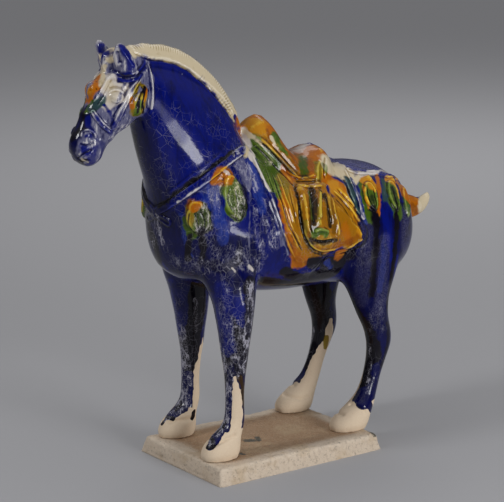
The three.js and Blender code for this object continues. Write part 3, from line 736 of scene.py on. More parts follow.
bareClay = {
    "hem": 24,    # the glaze ends about this high above the soles
    "wedges": [
        ("bare", 2, 1, [(234.5, 378), (236, 386)]),
        ("bare", 5.5, 1, [(236, 385), (237, 394)]),
        ("bare", 10, 1, [(237, 394), (237.5, 408), (237, 420), (235, 433)]),
        ("bare", 3, 1, [(203, 338), (202, 346)]),
        ("bare", 7, 1, [(202, 346), (200, 358), (199, 370)]),
        ("bare", 11, 1, [(199, 366), (198, 385), (197, 405), (196, 418)]),
        ("bare", 3, 1, [(331, 320), (330, 328)]),
        ("bare", 8, 1, [(330, 328), (329, 338), (325, 348)]),
        ("bare", 16, 1, [(325, 350), (319, 364), (312, 378), (304, 394)]),
    ],
    "tongues": [
        ("navy", 7, 1, [(228, 388), (228, 410), (224, 428), (215, 440), (210, 446)]),
        ("navy", 9, 1, [(188, 376), (187, 396), (180, 410), (170, 416)]),
        ("dark", 4, 1, [(208, 447), (213, 446)]),
        ("dark", 3.4, 1, [(226, 421), (222, 429)]),
        ("dark", 4, 1, [(166, 417), (173, 418.5)]),
        ("dark", 3.6, 0.9, [(180, 405), (176, 410)]),
        ("umber", 4.4, 0.9, [(240, 378), (243, 390), (244, 404), (245, 418), (247, 430)]),
        ("dark", 4, 1, [(202, 412), (198, 418)]),
        ("olive", 5, 0.9, [(327, 338), (326, 347)]),
        ("navy", 14, 1, [(362, 394), (363, 402)]),
        ("navy", 7, 1, [(368, 398), (370, 406), (371, 414)]),
    ],
}
# short blue strokes under the mane's lower edge, in pixels
maneHatch = [
    ("cobalt", 0.9, 0.4, [(199 + step, 80 + step + drop), (202 + step, 75.5 + step + drop)])
    for step, drop in ((2.1 * k, 0.02 * k * k) for k in range(16))
]
# Marks laid over any glaze. Kind, width, strength, line by pixels
glazeMarks = [
    ("crazed", 50, 0.8, [(152, 140), (160, 180), (172, 205)]),
    ("crazed", 40, 0.7, [(180, 150), (200, 170)]),
    ("crazed", 26, 0.6, [(215, 125), (232, 140)]),
    ("crazed", 26, 0.6, [(160, 100), (172, 122), (196, 136)]),
    ("crazed", 50, 1, [(165, 232), (190, 256), (225, 252)]),
    ("crazed", 34, 1, [(234, 180), (240, 205)]),
    ("crazed", 40, 0.8, [(262, 238), (240, 262)]),
    ("crazed", 50, 0.8, [(240, 290), (238, 350)]),
    ("crazed", 50, 0.7, [(190, 290), (190, 360)]),
    ("crazed", 40, 0.5, [(362, 330), (362, 380)]),
    ("crazed", 30, 0.5, [(318, 290), (312, 350)]),
    ("crazed", 36, 0.9, [(264, 155), (270, 175)]),
    ("crazed", 30, 0.8, [(303, 160), (310, 205)]),
    ("crazed", 50, 0.7, [(300, 262), (350, 252)]),
    ("wear", 15, 0.8, [(238, 158), (246, 170), (252, 184)]),
    ("wear", 8, 0.7, [(243, 150), (246, 160)]),
    ("wear", 12, 0.5, [(216, 184), (213, 198), (214, 214)]),
    ("wear", 18, 0.65, [(234, 190), (238, 210)]),
    ("wear", 15, 0.65, [(202, 210), (204, 228)]),
    ("wear", 6, 0.7, [(158, 216), (160, 232), (166, 250)]),
    ("wear", 20, 0.35, [(178, 266), (205, 262), (228, 256)]),
    ("wear", 16, 0.5, [(236, 256), (246, 262), (256, 266)]),
    ("wear", 11, 0.5, [(263, 204), (269, 224), (274, 246)]),
    ("wear", 8, 0.45, [(256, 212), (259, 236), (264, 256)]),
    ("wear", 14, 0.38, [(222, 285), (224, 320), (227, 350)]),
    ("wear", 10, 0.9, [(250, 285), (250, 315), (246, 345), (241, 372)]),
    ("wear", 14, 0.5, [(236, 320), (236, 350), (234, 372)]),
    ("wear", 8, 0.9, [(229, 372), (229, 400), (222, 428), (211, 442)]),
    ("wear", 10, 0.85, [(181, 330), (183, 350), (186, 372), (185, 398), (176, 412)]),
    ("wear", 6, 0.4, [(196, 300), (195, 330)]),
    ("wear", 4, 0.6, [(369, 344), (370, 366), (367, 392)]),
    ("wear", 16, 0.3, [(378, 305), (376, 330)]),
    ("wear", 10, 0.5, [(264, 152), (269, 160)]),
    ("speckle", 30, 1, [(330, 158), (352, 164), (375, 166), (396, 172)]),
    ("speckle", 16, 0.45, [(407, 215), (407, 240), (404, 268), (399, 300)]),
    ("speckle", 12, 0.4, [(385, 240), (384, 268), (379, 310)]),
    ("speckle", 14, 0.3, [(366, 228), (365, 256), (360, 300)]),
    ("dull", 26, 1, [(146, 86), (156, 98), (164, 110)]),
    ("dull", 16, 0.55, [(166, 114), (178, 136)]),
    ("dull", 24, 0.9, [(205, 188), (212, 200), (217, 210)]),
    ("dull", 20, 1, [(224, 258), (234, 270)]),
    ("dull", 16, 0.8, [(254, 228), (258, 240)]),
    ("dull", 60, 0.85, [(372, 225), (376, 250), (374, 285)]),
]
glazeNames = ("cobalt", "navy", "bright", "mist", "pale", "cream", "olive", "honey", "gold", "amber", "rust",
              "green", "teal", "umber", "dark", "bare")
markNames = ("crazed", "wear", "speckle", "dull")
softest = {"horse": 2.4, "saddle": 3.4, "clay": 0.9}    # millimetres that an edge may take


def wander(size, seed):
    # slow noise over the skin, size in millimetres
    shift = Vector((seed * 17.3, seed * 5.1, seed * 9.7))
    return np.array([noise.noise(Vector(place) / size + shift) for place in shape])


def layGlazes():
    cover = {name: np.zeros(len(shape)) for name in glazeNames + markNames}
    cover["cobalt"][:] = 1
    waver = 0.65 * wander(7, 1) + 0.35 * wander(3, 2)

    def lay(colour, chosen, share):
        for name in glazeNames:
            cover[name][chosen] *= 1 - share
        cover[colour][chosen] += share

    def brush(strokes, zone):
        for colour, width, strength, spots, *alone in strokes:
            soft = min(0.35 * width, softest[zone])
            chosen, gap, _ = nearLine(trace(spots), width / 2 + 2 * soft)
            if alone:
                here = shape[chosen, 0] * hits(spots)[:, 0].mean() > 0
                chosen, gap = chosen[here], gap[here]
            edge = width / 2 + (1 + soft) * waver[chosen] - gap
            lay(colour, chosen, strength * smoothStep(edge, -soft, soft))

    for strokes in (neckGlaze, maneHatch, faceGlaze, chestGlaze, rumpGlaze, legGlaze):
        brush(strokes, "horse")
    brush(saddleGlaze, "saddle")
    hem = bareClay["hem"] + 3 * waver
    lay("bare", np.arange(len(shape)), smoothStep(hem - level[:, 2], -1, 1))
    brush(bareClay["wedges"] + bareClay["tongues"], "clay")
    for kind, width, strength, spots in glazeMarks:
        chosen, gap, _ = nearLine(trace(spots), width * 0.75)
        fades = strength * (1 - smoothStep(gap, 0.3 * width, 0.7 * width))
        cover[kind][chosen] = np.maximum(cover[kind][chosen], fades)
    return cover


def keep(mesh, name, values):
    attribute = mesh.attributes.new(name, "FLOAT", "POINT")
    attribute.data.foreach_set("value", np.asarray(values, np.float32))


def markSkin():
    mesh = skin.data
    places, normals = readPlaces(mesh), readNormals(mesh)
    even = np.ones(len(skinLinks))
    near = evened(places, skinLinks, even, 5)
    ridge = np.einsum("ij,ij->i", places - near, normals)
    wide = evened(near, skinLinks, even, 25)
    swell = np.einsum("ij,ij->i", near - wide, normals)
    keep(mesh, "ridge", ridge)
    keep(mesh, "swell", swell)
    for name, values in layGlazes().items():
        keep(mesh, name, values)


markSkin()
print("glazes laid")

# The skin is cut by planes into pieces:
# the piece that is cut, the name of what comes off, a place on the plane and the way off
skinCuts = [
    ("horseTrunk", "horseHindquarters", (0, 62, 0), (0, 1, 0)),
    ("horseTrunk", "horseChest", (0, -30, 0), (0, -1, 0)),
    ("horseChest", "horseHead", (0, 0, 232), (0, 0, 1)),
    ("horseChest", "horseForelegs", (0, 0, 118), (0, 0, -1)),
    ("horseHindquarters", "horseHindlegs", (0, 0, 118), (0, 0, -1)),
]


def onOneSide(mesh, name, place, way):
    built = bmesh.new()
    built.from_mesh(mesh)
    everything = built.verts[:] + built.edges[:] + built.faces[:]
    plane = {"plane_co": toFrame(place), "plane_no": way}
    bmesh.ops.bisect_plane(built, geom=everything, dist=1e-7, clear_inner=True, **plane)
    rim = [edge for edge in built.edges if edge.is_boundary]
    caps = bmesh.ops.holes_fill(built, edges=rim, sides=0)["faces"]
    bmesh.ops.triangulate(built, faces=caps)
    bmesh.ops.recalc_face_normals(built, faces=built.faces)
    result = bpy.data.meshes.new(name)
    built.to_mesh(result)
    built.free()
    return result


def cutSkin():
    # the whole skin's normals go with the pieces, so that no cut shows
    whole = skin.data
    normals = whole.attributes.new("wholeNormal", "FLOAT_VECTOR", "POINT")
    normals.data.foreach_set("vector", readNormals(whole).astype(np.float32).ravel())
    meshes = {"horseTrunk": whole}
    for kept, name, place, way in skinCuts:
        other = tuple(-step for step in way)
        meshes[name] = onOneSide(meshes[kept], name, place, way)
        meshes[kept] = onOneSide(meshes[kept], kept, place, other)
    bpy.data.objects.remove(skin)
    pieces = []
    for name, mesh in meshes.items():
        flat = np.empty(len(mesh.vertices) * 3, np.float32)
        mesh.attributes["wholeNormal"].data.foreach_get("vector", flat)
        mesh.shade_smooth()
        mesh.normals_split_custom_set_from_vertices(flat.reshape(-1, 3))
        mesh.attributes.remove(mesh.attributes["wholeNormal"])
        pieces.append(newPiece(name, mesh))
        print(name, sum(len(face.vertices) - 2 for face in mesh.polygons), "triangles")
    return pieces


horsePieces = cutSkin()


# Node helpers
def setIn(tree, node, inputs):
    for key, value in inputs.items():
        socket = node.inputs[key]
        if isinstance(value, bpy.types.NodeSocket):
            tree.links.new(value, socket)
        elif isinstance(value, tuple) and len(value) == 3 and socket.type == "RGBA":
            socket.default_value = (*value, 1)
        else:
            socket.default_value = value


def add(tree, kind, inputs=None, **settings):
    node = tree.nodes.new("ShaderNode" + kind)
    for name, value in settings.items():
        setattr(node, name, value)
    setIn(tree, node, inputs or {})
    return node


def compute(tree, operation, *values, clamp=False):
    # the values are taken together one after the other
    result = values[0]
    for value in values[1:]:
        result = add(tree, "Math", {0: result, 1: value}, operation=operation, use_clamp=clamp).outputs[0]
    return result


def plus(tree, *values, clamp=False):
    return compute(tree, "ADD", *values, clamp=clamp)


def minus(tree, first, second, clamp=False):
    return compute(tree, "SUBTRACT", first, second, clamp=clamp)


def times(tree, *values, clamp=False):
    return compute(tree, "MULTIPLY", *values, clamp=clamp)


def most(tree, *values):
    return compute(tree, "MAXIMUM", *values)


def blend(tree, share, under, over):
    return add(tree, "Mix", {0: share, 6: under, 7: over}, data_type="RGBA").outputs[2]


def ramp(tree, value, low, high, start=0.0, end=1.0):
    steps = {0: value, 1: low, 2: high, 3: start, 4: end}
    return add(tree, "MapRange", steps, interpolation_type="SMOOTHSTEP").outputs[0]


def noiseAt(tree, place, scale, detail=3.0, rough=0.55):
    inputs = {"Vector": place, "Scale": scale, "Detail": detail, "Roughness": rough}
    return add(tree, "TexNoise", inputs).outputs[0]


def offCentre(tree, value, gain):
    # a noise of 0 to 1 turned into a push of either sign
    return times(tree, minus(tree, value, 0.5), gain)


def stretched(tree, place, tallness):
    # a place whose patterns are drawn out upwards
    return add(tree, "Mapping", {"Vector": place, "Scale": (1, 1, tallness)}).outputs[0]


def newGroup(name, inputs, outputs):
    tree = bpy.data.node_groups.new(name, "ShaderNodeTree")
    for side, sockets in (("INPUT", inputs), ("OUTPUT", outputs)):
        for label, kind, *value in sockets:
            socket = tree.interface.new_socket(label, in_out=side, socket_type="NodeSocket" + kind)
            if value:
                socket.default_value = (*value[0], 1) if kind == "Color" else value[0]
    return tree, tree.nodes.new("NodeGroupInput").outputs, tree.nodes.new("NodeGroupOutput")


def useGroup(tree, name, **inputs):
    node = tree.nodes.new("ShaderNodeGroup")
    node.node_tree = groups[name]
    setIn(tree, node, inputs)
    return node.outputs


def brokenEdgeGroup():
    tree, given, out = newGroup(
        "brokenEdge",
        [("Mask", "Float"), ("Grain", "Float", 0.5), ("Amount", "Float", 0.5), ("Sharpness", "Float", 1.5)],
        [("Mask", "Float")],
    )
    pushed = plus(tree, given["Mask"], offCentre(tree, given["Grain"], given["Amount"]))
    centred = offCentre(tree, pushed, given["Sharpness"])
    setIn(tree, out, {"Mask": plus(tree, centred, 0.5, clamp=True)})
    return tree


def crackleGroup():
    tree, given, out = newGroup(
        "crackle",
        [("Place", "Vector"), ("Scale", "Float", 180.0), ("Line", "Float", 0.03)],
        [("Lines", "Float")],
    )
    # the straight edges of the cells are bent a little
    bent = add(tree, "TexNoise", {"Vector": given["Place"], "Scale": times(tree, given["Scale"], 1.3)})
    middle = {0: bent.outputs["Color"], 1: (0.5, 0.5, 0.5)}
    off = add(tree, "VectorMath", middle, operation="SUBTRACT").outputs[0]
    reach = compute(tree, "DIVIDE", 0.06, given["Scale"])
    moved = add(tree, "VectorMath", {0: off, "Scale": reach}, operation="SCALE").outputs[0]
    place = add(tree, "VectorMath", {0: given["Place"], 1: moved}, operation="ADD").outputs[0]
    edge = add(tree, "TexVoronoi", {"Vector": place, "Scale": given["Scale"]}, feature="DISTANCE_TO_EDGE")
    lines = ramp(tree, edge.outputs["Distance"], times(tree, given["Line"], 0.4), given["Line"], 1.0, 0.0)
    setIn(tree, out, {"Lines": lines})
    return tree


def glazeToneGroup():
    tree, given, out = newGroup(
        "glazeTone",
        [("Depth", "Float", 0.5), ("Thin", "Color", (1, 1, 1)), ("Body", "Color", (0.5, 0.5, 0.5)),
         ("Pool", "Color", (0, 0, 0))],
        [("Color", "Color")],
    )
    lower = blend(tree, ramp(tree, given["Depth"], 0.08, 0.42), given["Thin"], given["Body"])
    whole = blend(tree, ramp(tree, given["Depth"], 0.52, 0.95), lower, given["Pool"])
    setIn(tree, out, {"Color": whole})
    return tree


def clayGroup():
    tree, given, out = newGroup(
        "firedClay",
        [("Place", "Vector"), ("Light", "Color", (0.68, 0.55, 0.4)), ("Dark", "Color", (0.26, 0.16, 0.09)),
         ("Dirt", "Float", 0.0)],
        [("Color", "Color"), ("Height", "Float")],
    )
    slow = noiseAt(tree, given["Place"], 55.0, 4)
    fine = noiseAt(tree, given["Place"], 900.0, 3)
    soil = plus(tree, given["Dirt"], offCentre(tree, slow, 0.7))
    colour = blend(tree, ramp(tree, soil, 0.15, 0.95), given["Light"], given["Dark"])
    freckle = ramp(tree, noiseAt(tree, given["Place"], 620.0, 2), 0.66, 0.76, 0.0, 0.2)
    colour = blend(tree, freckle, colour, (0.2, 0.12, 0.07))
    colour = blend(tree, ramp(tree, fine, 0.3, 0.75, 0.0, 0.25), colour, (0.8, 0.7, 0.55))
    pits = ramp(tree, noiseAt(tree, given["Place"], 420.0, 2), 0.28, 0.42)
    height = plus(tree, times(tree, pits, 0.7), times(tree, fine, 0.5))
    setIn(tree, out, {"Color": colour, "Height": height})
    return tree


groups = {
    "brokenEdge": brokenEdgeGroup(),
    "crackle": crackleGroup(),
    "glazeTone": glazeToneGroup(),
    "firedClay": clayGroup(),
}

# Thin, body and pooled tone of each glaze
glazeTones = {
    "cobalt": ((0.02, 0.03, 0.22), (0.002, 0.006, 0.14), (0.002, 0.003, 0.045)),
    "navy": ((0.015, 0.017, 0.12), (0.002, 0.003, 0.055), (0.001, 0.001, 0.016)),
    "bright": ((0.16, 0.21, 0.50), (0.012, 0.032, 0.24), (0.003, 0.008, 0.10)),
    "mist": ((0.52, 0.50, 0.52), (0.13, 0.13, 0.22), (0.008, 0.010, 0.07)),
    "pale": ((0.66, 0.62, 0.58), (0.56, 0.51, 0.47), (0.34, 0.29, 0.24)),
    "cream": ((0.70, 0.62, 0.47), (0.58, 0.49, 0.33), (0.34, 0.25, 0.12)),
    "olive": ((0.48, 0.36, 0.04), (0.22, 0.14, 0.006), (0.030, 0.020, 0.003)),
    "honey": ((0.55, 0.32, 0.03), (0.31, 0.125, 0.003), (0.050, 0.020, 0.002)),
    "gold": ((0.70, 0.44, 0.04), (0.50, 0.21, 0.005), (0.16, 0.050, 0.002)),
    "amber": ((0.60, 0.30, 0.02), (0.39, 0.110, 0.002), (0.12, 0.026, 0.001)),
    "rust": ((0.42, 0.17, 0.01), (0.24, 0.065, 0.002), (0.05, 0.014, 0.002)),
    "green": ((0.18, 0.24, 0.04), (0.050, 0.095, 0.006), (0.005, 0.010, 0.003)),
    "teal": ((0.22, 0.30, 0.28), (0.022, 0.050, 0.055), (0.004, 0.010, 0.018)),
    "umber": ((0.12, 0.07, 0.015), (0.030, 0.014, 0.003), (0.006, 0.004, 0.002)),
    "dark": ((0.02, 0.018, 0.03), (0.004, 0.003, 0.008), (0.002, 0.001, 0.003)),
}
blues = ("cobalt", "navy", "bright", "dark")
glazeLook = {
    "bluesLie": 0.66,      # how thick the blues lie, and the others
    "othersLie": 0.50,
    "ridgeThinsAndShades": -1.5,    # what a millimetre of ridge does to that, in the blues and in the others: lighter on ridges and darker in grooves, partly glaze pooling and partly painted highlight and painted shade
    "warmRidgeThinsAndShades": -2.8,
    "swellThins": -0.06,
    "runs": 0.16,          # how far the runs are drawn out: a lower value makes them longer
    "cells": {"coarse": 150, "middling": 265, "worn": 250, "close": 430},      # crazing, cells to the metre
    "lines": {"coarse": 0.014, "middling": 0.016, "worn": 0.015, "close": 0.02},    # as shares of a cell
    "crazing": 0.45,
    "wear": (0.42, 0.41, 0.48),
    "warmWear": (0.62, 0.57, 0.38),
    "wearCovers": 0.85,
    "speckle": (0.34, 0.33, 0.46),
    "clay": {"Light": (0.70, 0.56, 0.41), "Dark": (0.42, 0.29, 0.18), "Dirt": 0.2},
    "coat": 0.62,
    "shader": {"Coat Roughness": 0.08, "Coat IOR": 1.42, "Specular IOR Level": 0.05},
}


def newMaterial(name):
    material = bpy.data.materials.new(name)
    material.use_nodes = True
    return material, material.node_tree, material.node_tree.nodes["Principled BSDF"]


def attributes(tree, names):
    return {name: add(tree, "Attribute", attribute_name=name).outputs["Fac"] for name in names}


def glazeColour(tree, place, part, cloud, grain):
    # the glaze thins on ridges and pools in hollows; the ridge term also paints the ridges lighter as painted
    # highlight and the grooves darker as painted shade
    runs = stretched(tree, place, glazeLook["runs"])
    lying = plus(
        tree,
        offCentre(tree, noiseAt(tree, runs, 240.0, 3), 0.6),
        offCentre(tree, cloud, 0.5),
        offCentre(tree, noiseAt(tree, place, 700.0, 3, 0.65), 0.18),
        times(tree, part["swell"], glazeLook["swellThins"]),
    )
    blueDepth = plus(tree, glazeLook["bluesLie"], lying, times(tree, part["ridge"], glazeLook["ridgeThinsAndShades"]))
    otherDepth = plus(tree, glazeLook["othersLie"], lying, times(tree, part["ridge"], glazeLook["warmRidgeThinsAndShades"]))
    marble = offCentre(tree, noiseAt(tree, runs, 420.0, 5, 0.7), 2.2)
    mistDepth = plus(tree, otherDepth, times(tree, marble, part["mist"]))
    # a weighted mean of the glazes, so that no third colour shows where two of them meet
    colour, covered, push = None, None, 0.4
    for name, (thin, body, pool) in glazeTones.items():
        lies = blueDepth if name in blues else mistDepth if name == "mist" else otherDepth
        tone = useGroup(tree, "glazeTone", Depth=lies, Thin=thin, Body=body, Pool=pool)["Color"]
        mask = useGroup(tree, "brokenEdge", Mask=part[name], Grain=grain, Amount=push, Sharpness=1.6)["Mask"]
        push = -push
        if colour is None:
            colour, covered = tone, most(tree, mask, 0.001)
        else:
            covered = plus(tree, covered, mask)
            colour = blend(tree, compute(tree, "DIVIDE", mask, covered), colour, tone)
    # speckle: fine pale grains in the blue
    grains = ramp(tree, noiseAt(tree, place, 1500.0, 3, 0.7), 0.46, 0.60)
    return blend(tree, times(tree, grains, part["speckle"], 0.5), colour, glazeLook["speckle"])


def crazing(tree, place, part):
    # fine pale lines, which widen and flake where the glaze is worn
    tall = stretched(tree, place, 0.5)
    patches = offCentre(tree, noiseAt(tree, tall, 150.0, 6, 0.75), 3.2)
    worn = times(tree, plus(tree, 0.32, patches), times(tree, part["wear"], 1.4), clamp=True)

    def cells(kind, where, wider=None):
        line = glazeLook["lines"][kind]
        line = line if wider is None else plus(tree, line, wider)
        return useGroup(tree, "crackle", Place=where, Scale=glazeLook["cells"][kind], Line=line)["Lines"]

    second = ramp(tree, noiseAt(tree, place, 80.0, 3), 0.44, 0.56)
    coarse = most(tree, cells("coarse", place), times(tree, cells("middling", tall), second))
    ragged = ramp(tree, noiseAt(tree, place, 1100.0, 4, 0.7), 0.38, 0.66)
    close = cells("close", place, times(tree, worn, 0.06))
    net = cells("worn", tall, times(tree, worn, ragged, 0.5))
    net = times(tree, net, ramp(tree, worn, 0.15, 0.5))
    patchy = ramp(tree, noiseAt(tree, place, 45.0, 3), 0.42, 0.56)
    crazed = most(tree, times(tree, part["crazed"], patchy), times(tree, worn, 1.5, clamp=True))
    strength = plus(tree, glazeLook["crazing"], times(tree, worn, 0.3))
    netting = times(tree, coarse, times(tree, crazed, strength))
    fine = times(tree, close, ramp(tree, worn, 0.03, 0.3, 0.0, 0.6))
    scratch = noiseAt(tree, tall, 1500.0, 6, 0.8)
    scuffLevel = minus(tree, 0.68, times(tree, worn, 0.18))
    scuff = ramp(tree, minus(tree, scratch, scuffLevel), 0.0, 0.05)
    scuff = times(tree, scuff, ramp(tree, worn, 0.1, 0.4))
    flake = ramp(tree, noiseAt(tree, tall, 560.0, 6, 0.75), 0.54, 0.60)
    flake = times(tree, flake, 0.4, ramp(tree, worn, 0.5, 0.9))
    return most(tree, netting, fine, net, scuff, flake)


def glazeMaterial():
    material, tree, shader = newMaterial("tombGlaze")
    place = add(tree, "TexCoord").outputs["Object"]
    part = attributes(tree, glazeNames + markNames + ("ridge", "swell"))
    cloud = noiseAt(tree, place, 60.0, 4)
    grain = noiseAt(tree, place, 330.0, 4)
    colour = glazeColour(tree, place, part, cloud, grain)
    # the lines show less in the pale glazes and are yellower in the warm ones
    lines = crazing(tree, place, part)
    calm = plus(tree, part["cream"], part["pale"], part["mist"], part["amber"])
    quiet = minus(tree, 1.0, times(tree, calm, 0.8), clamp=True)
    warm = plus(tree, part["green"], part["amber"], part["olive"], part["rust"])
    paleLine = blend(tree, compute(tree, "MINIMUM", warm, 1.0), glazeLook["wear"], glazeLook["warmWear"])
    wearMask = times(tree, lines, quiet, glazeLook["wearCovers"])
    colour = blend(tree, wearMask, colour, paleLine)
    # bare clay below the hems
    bare = useGroup(tree, "brokenEdge", Mask=part["bare"], Grain=grain, Amount=0.3, Sharpness=8.0)["Mask"]
    clay = useGroup(tree, "firedClay", Place=place, **glazeLook["clay"])
    colour = blend(tree, bare, colour, clay["Color"])
    glazed = minus(tree, 1.0, bare)
    shine = minus(tree, 1.0, plus(tree, times(tree, wearMask, 0.5), part["dull"]), clamp=True)
    setIn(tree, shader, {
        "Base Color": colour,
        "Roughness": plus(tree, 0.2, times(tree, bare, 0.65), times(tree, wearMask, 0.3)),
        "Coat Weight": times(tree, glazed, shine, glazeLook["coat"]),
        **glazeLook["shader"],
    })
    height = plus(
        tree,
        times(tree, lines, -0.3),
        times(tree, cloud, 0.8),
        times(tree, glazed, 0.8),
        times(tree, clay["Height"], bare, 0.35),
    )
    bump = add(tree, "Bump", {"Height": height, "Distance": 0.0006, "Strength": 0.5})
    tree.links.new(bump.outputs[0], shader.inputs["Normal"])
    ripples = add(tree, "Bump", {"Height": cloud, "Distance": 0.0006, "Strength": 0.4})
    tree.links.new(ripples.outputs[0], shader.inputs["Coat Normal"])
    return material


def slabMaterial():
    material, tree, shader = newMaterial("bareSlab")
    place = add(tree, "TexCoord").outputs["Object"]
    part = attributes(tree, ("trodden", "edge", "spill", "hollow"))
    clay = useGroup(tree, "firedClay", Place=place, Light=slabLook["light"], Dark=slabLook["dark"],
                    Dirt=part["trodden"])
    stain = ramp(tree, noiseAt(tree, place, 38.0, 4, 0.65), 0.50, 0.66, 0.0, 0.55)
    colour = blend(tree, stain, clay["Color"], slabLook["stain"])
    grime = ramp(tree, noiseAt(tree, place, 300.0, 5, 0.7), 0.56, 0.68)
    # grime at random, and painted shade along the crack's hollow
    grimeAndCrackShade = plus(tree, times(tree, grime, 0.1), times(tree, part["hollow"], 0.5))
    colour = blend(tree, grimeAndCrackShade, colour, slabLook["grime"])
    # painted highlight: the slab's rims are lightened
    colour = blend(tree, times(tree, part["edge"], 0.4), colour, slabLook["edge"])
    grain = noiseAt(tree, place, 500.0, 4)
    spilt = useGroup(tree, "brokenEdge", Mask=part["spill"], Grain=grain, Amount=2.4, Sharpness=1.6)["Mask"]
    setIn(tree, shader, {
        "Base Color": blend(tree, spilt, colour, slabLook["spill"]),
        "Roughness": plus(tree, ramp(tree, clay["Height"], 0, 1, 0.95, 0.85), times(tree, spilt, -0.5)),
    })
    height = plus(tree, clay["Height"], times(tree, grime, -0.5), times(tree, spilt, 0.6))
    bump = add(tree, "Bump", {"Height": height, "Distance": 0.0007, "Strength": 0.8})
    tree.links.new(bump.outputs[0], shader.inputs["Normal"])
    return material


def floorMaterial():
    material, tree, shader = newMaterial("floor")
    setIn(tree, shader, {"Base Color": studio["floor"], "Roughness": studio["floorRough"]})
    return material


glaze = glazeMaterial()
for piece in horsePieces:
    piece.data.materials.clear()
    piece.data.materials.append(glaze)
    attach(piece, "root")
    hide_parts("horse")


# Slab of rough clay: figure's millimetres, with its top at nought
slabMake = {
    "voxel": 0.0013,
    "batter": 3.6,        # how far the sides slope in
    "edgeBand": (0.6, 4.5),
    "wander": 0.5,        # how far the faces wander
    "chips": 3.2,         # how deep the edges are chipped
    "crackDeep": 1.1,
    "resting": 0.4,       # what lies lower than this stays on the floor
    "cracks": [
        [(-46, -86, -9.6), (-20, -86, -10.4), (4, -86, -9.2), (30, -86, -10.6), (52, -86, -10.0)],
    ],
    # glaze that ran down on to the slab: width in millimetres, then its line by pixels
    "spills": [
        (7, [(247, 440), (252, 440)]),
        (4, [(257, 437), (259, 440)]),
        (3.4, [(240, 453), (244, 454)]),
        (5, [(371, 431), (377, 434)]),
    ],
}
slabLook = {
    "light": (0.60, 0.49, 0.38),
    "dark": (0.33, 0.19, 0.095),
    "stain": (0.50, 0.37, 0.23),
    # the grime colour, also used for the painted shade in the crack
    "grime": (0.22, 0.16, 0.11),
    # the colour of the painted highlight on the slab's rims
    "edge": (0.70, 0.60, 0.48),
    "spill": (0.10, 0.09, 0.065),
}


def onSlab(across, down):
    # the place on the slab's top that lies behind a pixel
    ray = cameraRight * (across - photo["centreX"]) - cameraUp * (down - photo["centreY"])
    ray = ray / photo["focal"] - cameraBack
    return toFigure(cameraPlace + ray * ((slabHigh.z - cameraPlace.z) / ray.z))


def slabPiece():
    piece = modified(solidCopy("slab", "slabClay"), "REMESH", mode="VOXEL", voxel_size=slabMake["voxel"])
    mesh = piece.data
    places, normals, links = readPlaces(mesh), readNormals(mesh), readLinks(mesh)
    low, high = toFigure(slabLow), toFigure(slabHigh)
    x, y, z = places.T
    batter = (z - low[2]) / (high[2] - low[2]) * slabMake["batter"]
    besides = np.minimum(x - low[0], high[0] - x) - batter
    along = np.minimum(y - low[1], high[1] - y) - batter
    fromTop = high[2] - z
    rims = [fromTop + np.minimum(besides, along), besides + along]
    edge = np.max([1 - smoothStep(gap, *slabMake["edgeBand"]) for gap in rims], axis=0)
    resting = z < low[2] + slabMake["resting"]

    def rough(size, seed):
        shift = Vector((seed * 3.7, seed * 8.3, seed * 5.9))
        return np.array([noise.noise(Vector(place) / size + shift) for place in places])

    drift = slabMake["wander"] * (rough(26, 1) + 0.5 * rough(8, 2)) - 0.25
    chips = slabMake["chips"] * edge * np.clip(0.5 * rough(9, 3) + 0.6 * rough(4, 4), 0, 1)
    rise = np.minimum(drift, np.where(normals[:, 2] > 0.7, 0, 1)) - chips - 0.25 * np.abs(rough(2.6, 5))
    hollow = np.zeros(len(places))
    for crack in slabMake["cracks"]:
        gap, share = toPath(places, rounded(crack))
        ends = smoothStep(share, 0, 0.15) * smoothStep(1 - share, 0, 0.15)
        off = np.maximum(gap - 1.2 - 0.8 * rough(12, 6), 0)
        hollow = np.maximum(hollow, np.exp(-(off / 0.8) ** 2) * ends)
    moved = places + normals * (rise - slabMake["crackDeep"] * hollow)[:, None]
    moved[:, 2] = np.where(resting, low[2], np.maximum(moved[:, 2], low[2]))
    moved = evened(moved, links, np.ones(len(links)), 1)
    moved[:, 2] = np.where(resting, low[2], moved[:, 2])
    writePlaces(mesh, moved)
    spill = np.zeros(len(places))
    for width, spots in slabMake["spills"]:
        gap, _ = toPath(places, np.array([onSlab(*spot) for spot in spots]))
        spill = np.maximum(spill, 1 - smoothStep(gap, 0.3 * width, 0.8 * width))
    inside = np.minimum(besides, along)
    keep(mesh, "trodden", smoothStep(inside, 2, 22) * smoothStep(normals[:, 2], 0.6, 0.9))
    keep(mesh, "edge", edge)
    keep(mesh, "spill", spill)
    keep(mesh, "hollow", hollow)
    mesh.shade_smooth()
    mesh.materials.clear()
    mesh.materials.append(slabMaterial())
    return piece


slabClay = slabPiece()
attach(slabClay, "root")
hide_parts("slab")
print("slab:", sum(len(face.vertices) - 2 for face in slabClay.data.polygons), "triangles")


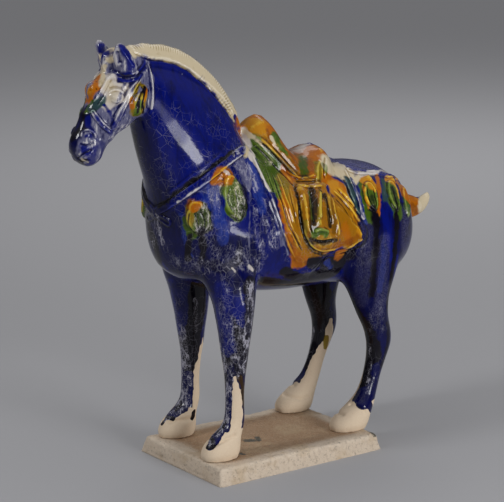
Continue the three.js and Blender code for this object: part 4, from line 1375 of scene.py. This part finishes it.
# Floor and light
studio = {
    "floor": (0.40, 0.40, 0.415),
    "floorRough": 0.85,
    "level": (0.08, 0.08, 0.083),      # the world's tone at eye level, and overhead
    "overhead": (0.50, 0.50, 0.51),
    "lamps": {
        # azimuth and elevation in degrees, distance, width and height in metres, power in watts
        "softboxKey": (96, 10, 1.4, 0.62, 0.48, 11),
        "softboxLeft": (-6, 36, 1.6, 0.36, 0.36, 6.5),
    },
    # a panel that lies on the floor: place, azimuth of its length, width, length, power
    "panel": (0.872, 0.297, 115, 0.16, 0.40, 2),
    # a lamp high over the floor behind: place, width, power and spread in degrees
    "backdrop": (-1.1, 1.15, 1.8, 1.0, 4.8, 110),
}


def addLamp(name, place, turned, width, height, power):
    data = bpy.data.lights.new(name, "AREA")
    data.shape = "ELLIPSE"
    data.size = width
    data.size_y = height
    data.energy = power
    lamp = bpy.data.objects.new(name, data)
    bpy.context.scene.collection.objects.link(lamp)
    lamp.location = place
    lamp.rotation_euler = turned
    lamp.visible_camera = False
    return data


def makeStudio():
    built = bmesh.new()
    bmesh.ops.create_grid(built, x_segments=1, y_segments=1, size=6)
    mesh = bpy.data.meshes.new("floor")
    built.to_mesh(mesh)
    built.free()
    floor = newPiece("floor", mesh)
    mesh.materials.append(floorMaterial())
    world = bpy.data.worlds.new("studio")
    world.use_nodes = True
    tree = world.node_tree
    way = add(tree, "SeparateXYZ", {0: add(tree, "TexCoord").outputs["Generated"]}).outputs[2]
    tone = blend(tree, ramp(tree, way, 0.2, 0.9), (*studio["level"], 1), (*studio["overhead"], 1))
    tree.links.new(tone, tree.nodes["Background"].inputs["Color"])
    bpy.context.scene.world = world
    middle = Vector((0, 0, 0.18))
    for name, (azimuth, elevation, distance, width, height, power) in studio["lamps"].items():
        turn, lift = math.radians(azimuth), math.radians(elevation)
        out = Vector((math.sin(turn) * math.cos(lift), -math.cos(turn) * math.cos(lift), math.sin(lift)))
        turned = out.to_track_quat("Z", "Y").to_euler()
        addLamp(name, middle + out * distance, turned, width, height, power)
    across, along, azimuth, width, length, power = studio["panel"]
    turned = (math.pi, 0, math.radians(azimuth))
    addLamp("floorPanel", (across, along, 0.004), turned, width, length, power)
    across, along, height, width, power, spread = studio["backdrop"]
    lamp = addLamp("backdropLamp", (across, along, height), (0, 0, 0), width, width, power)
    lamp.spread = math.radians(spread)
    bpy.context.scene.view_settings.view_transform = "Standard"


makeStudio()
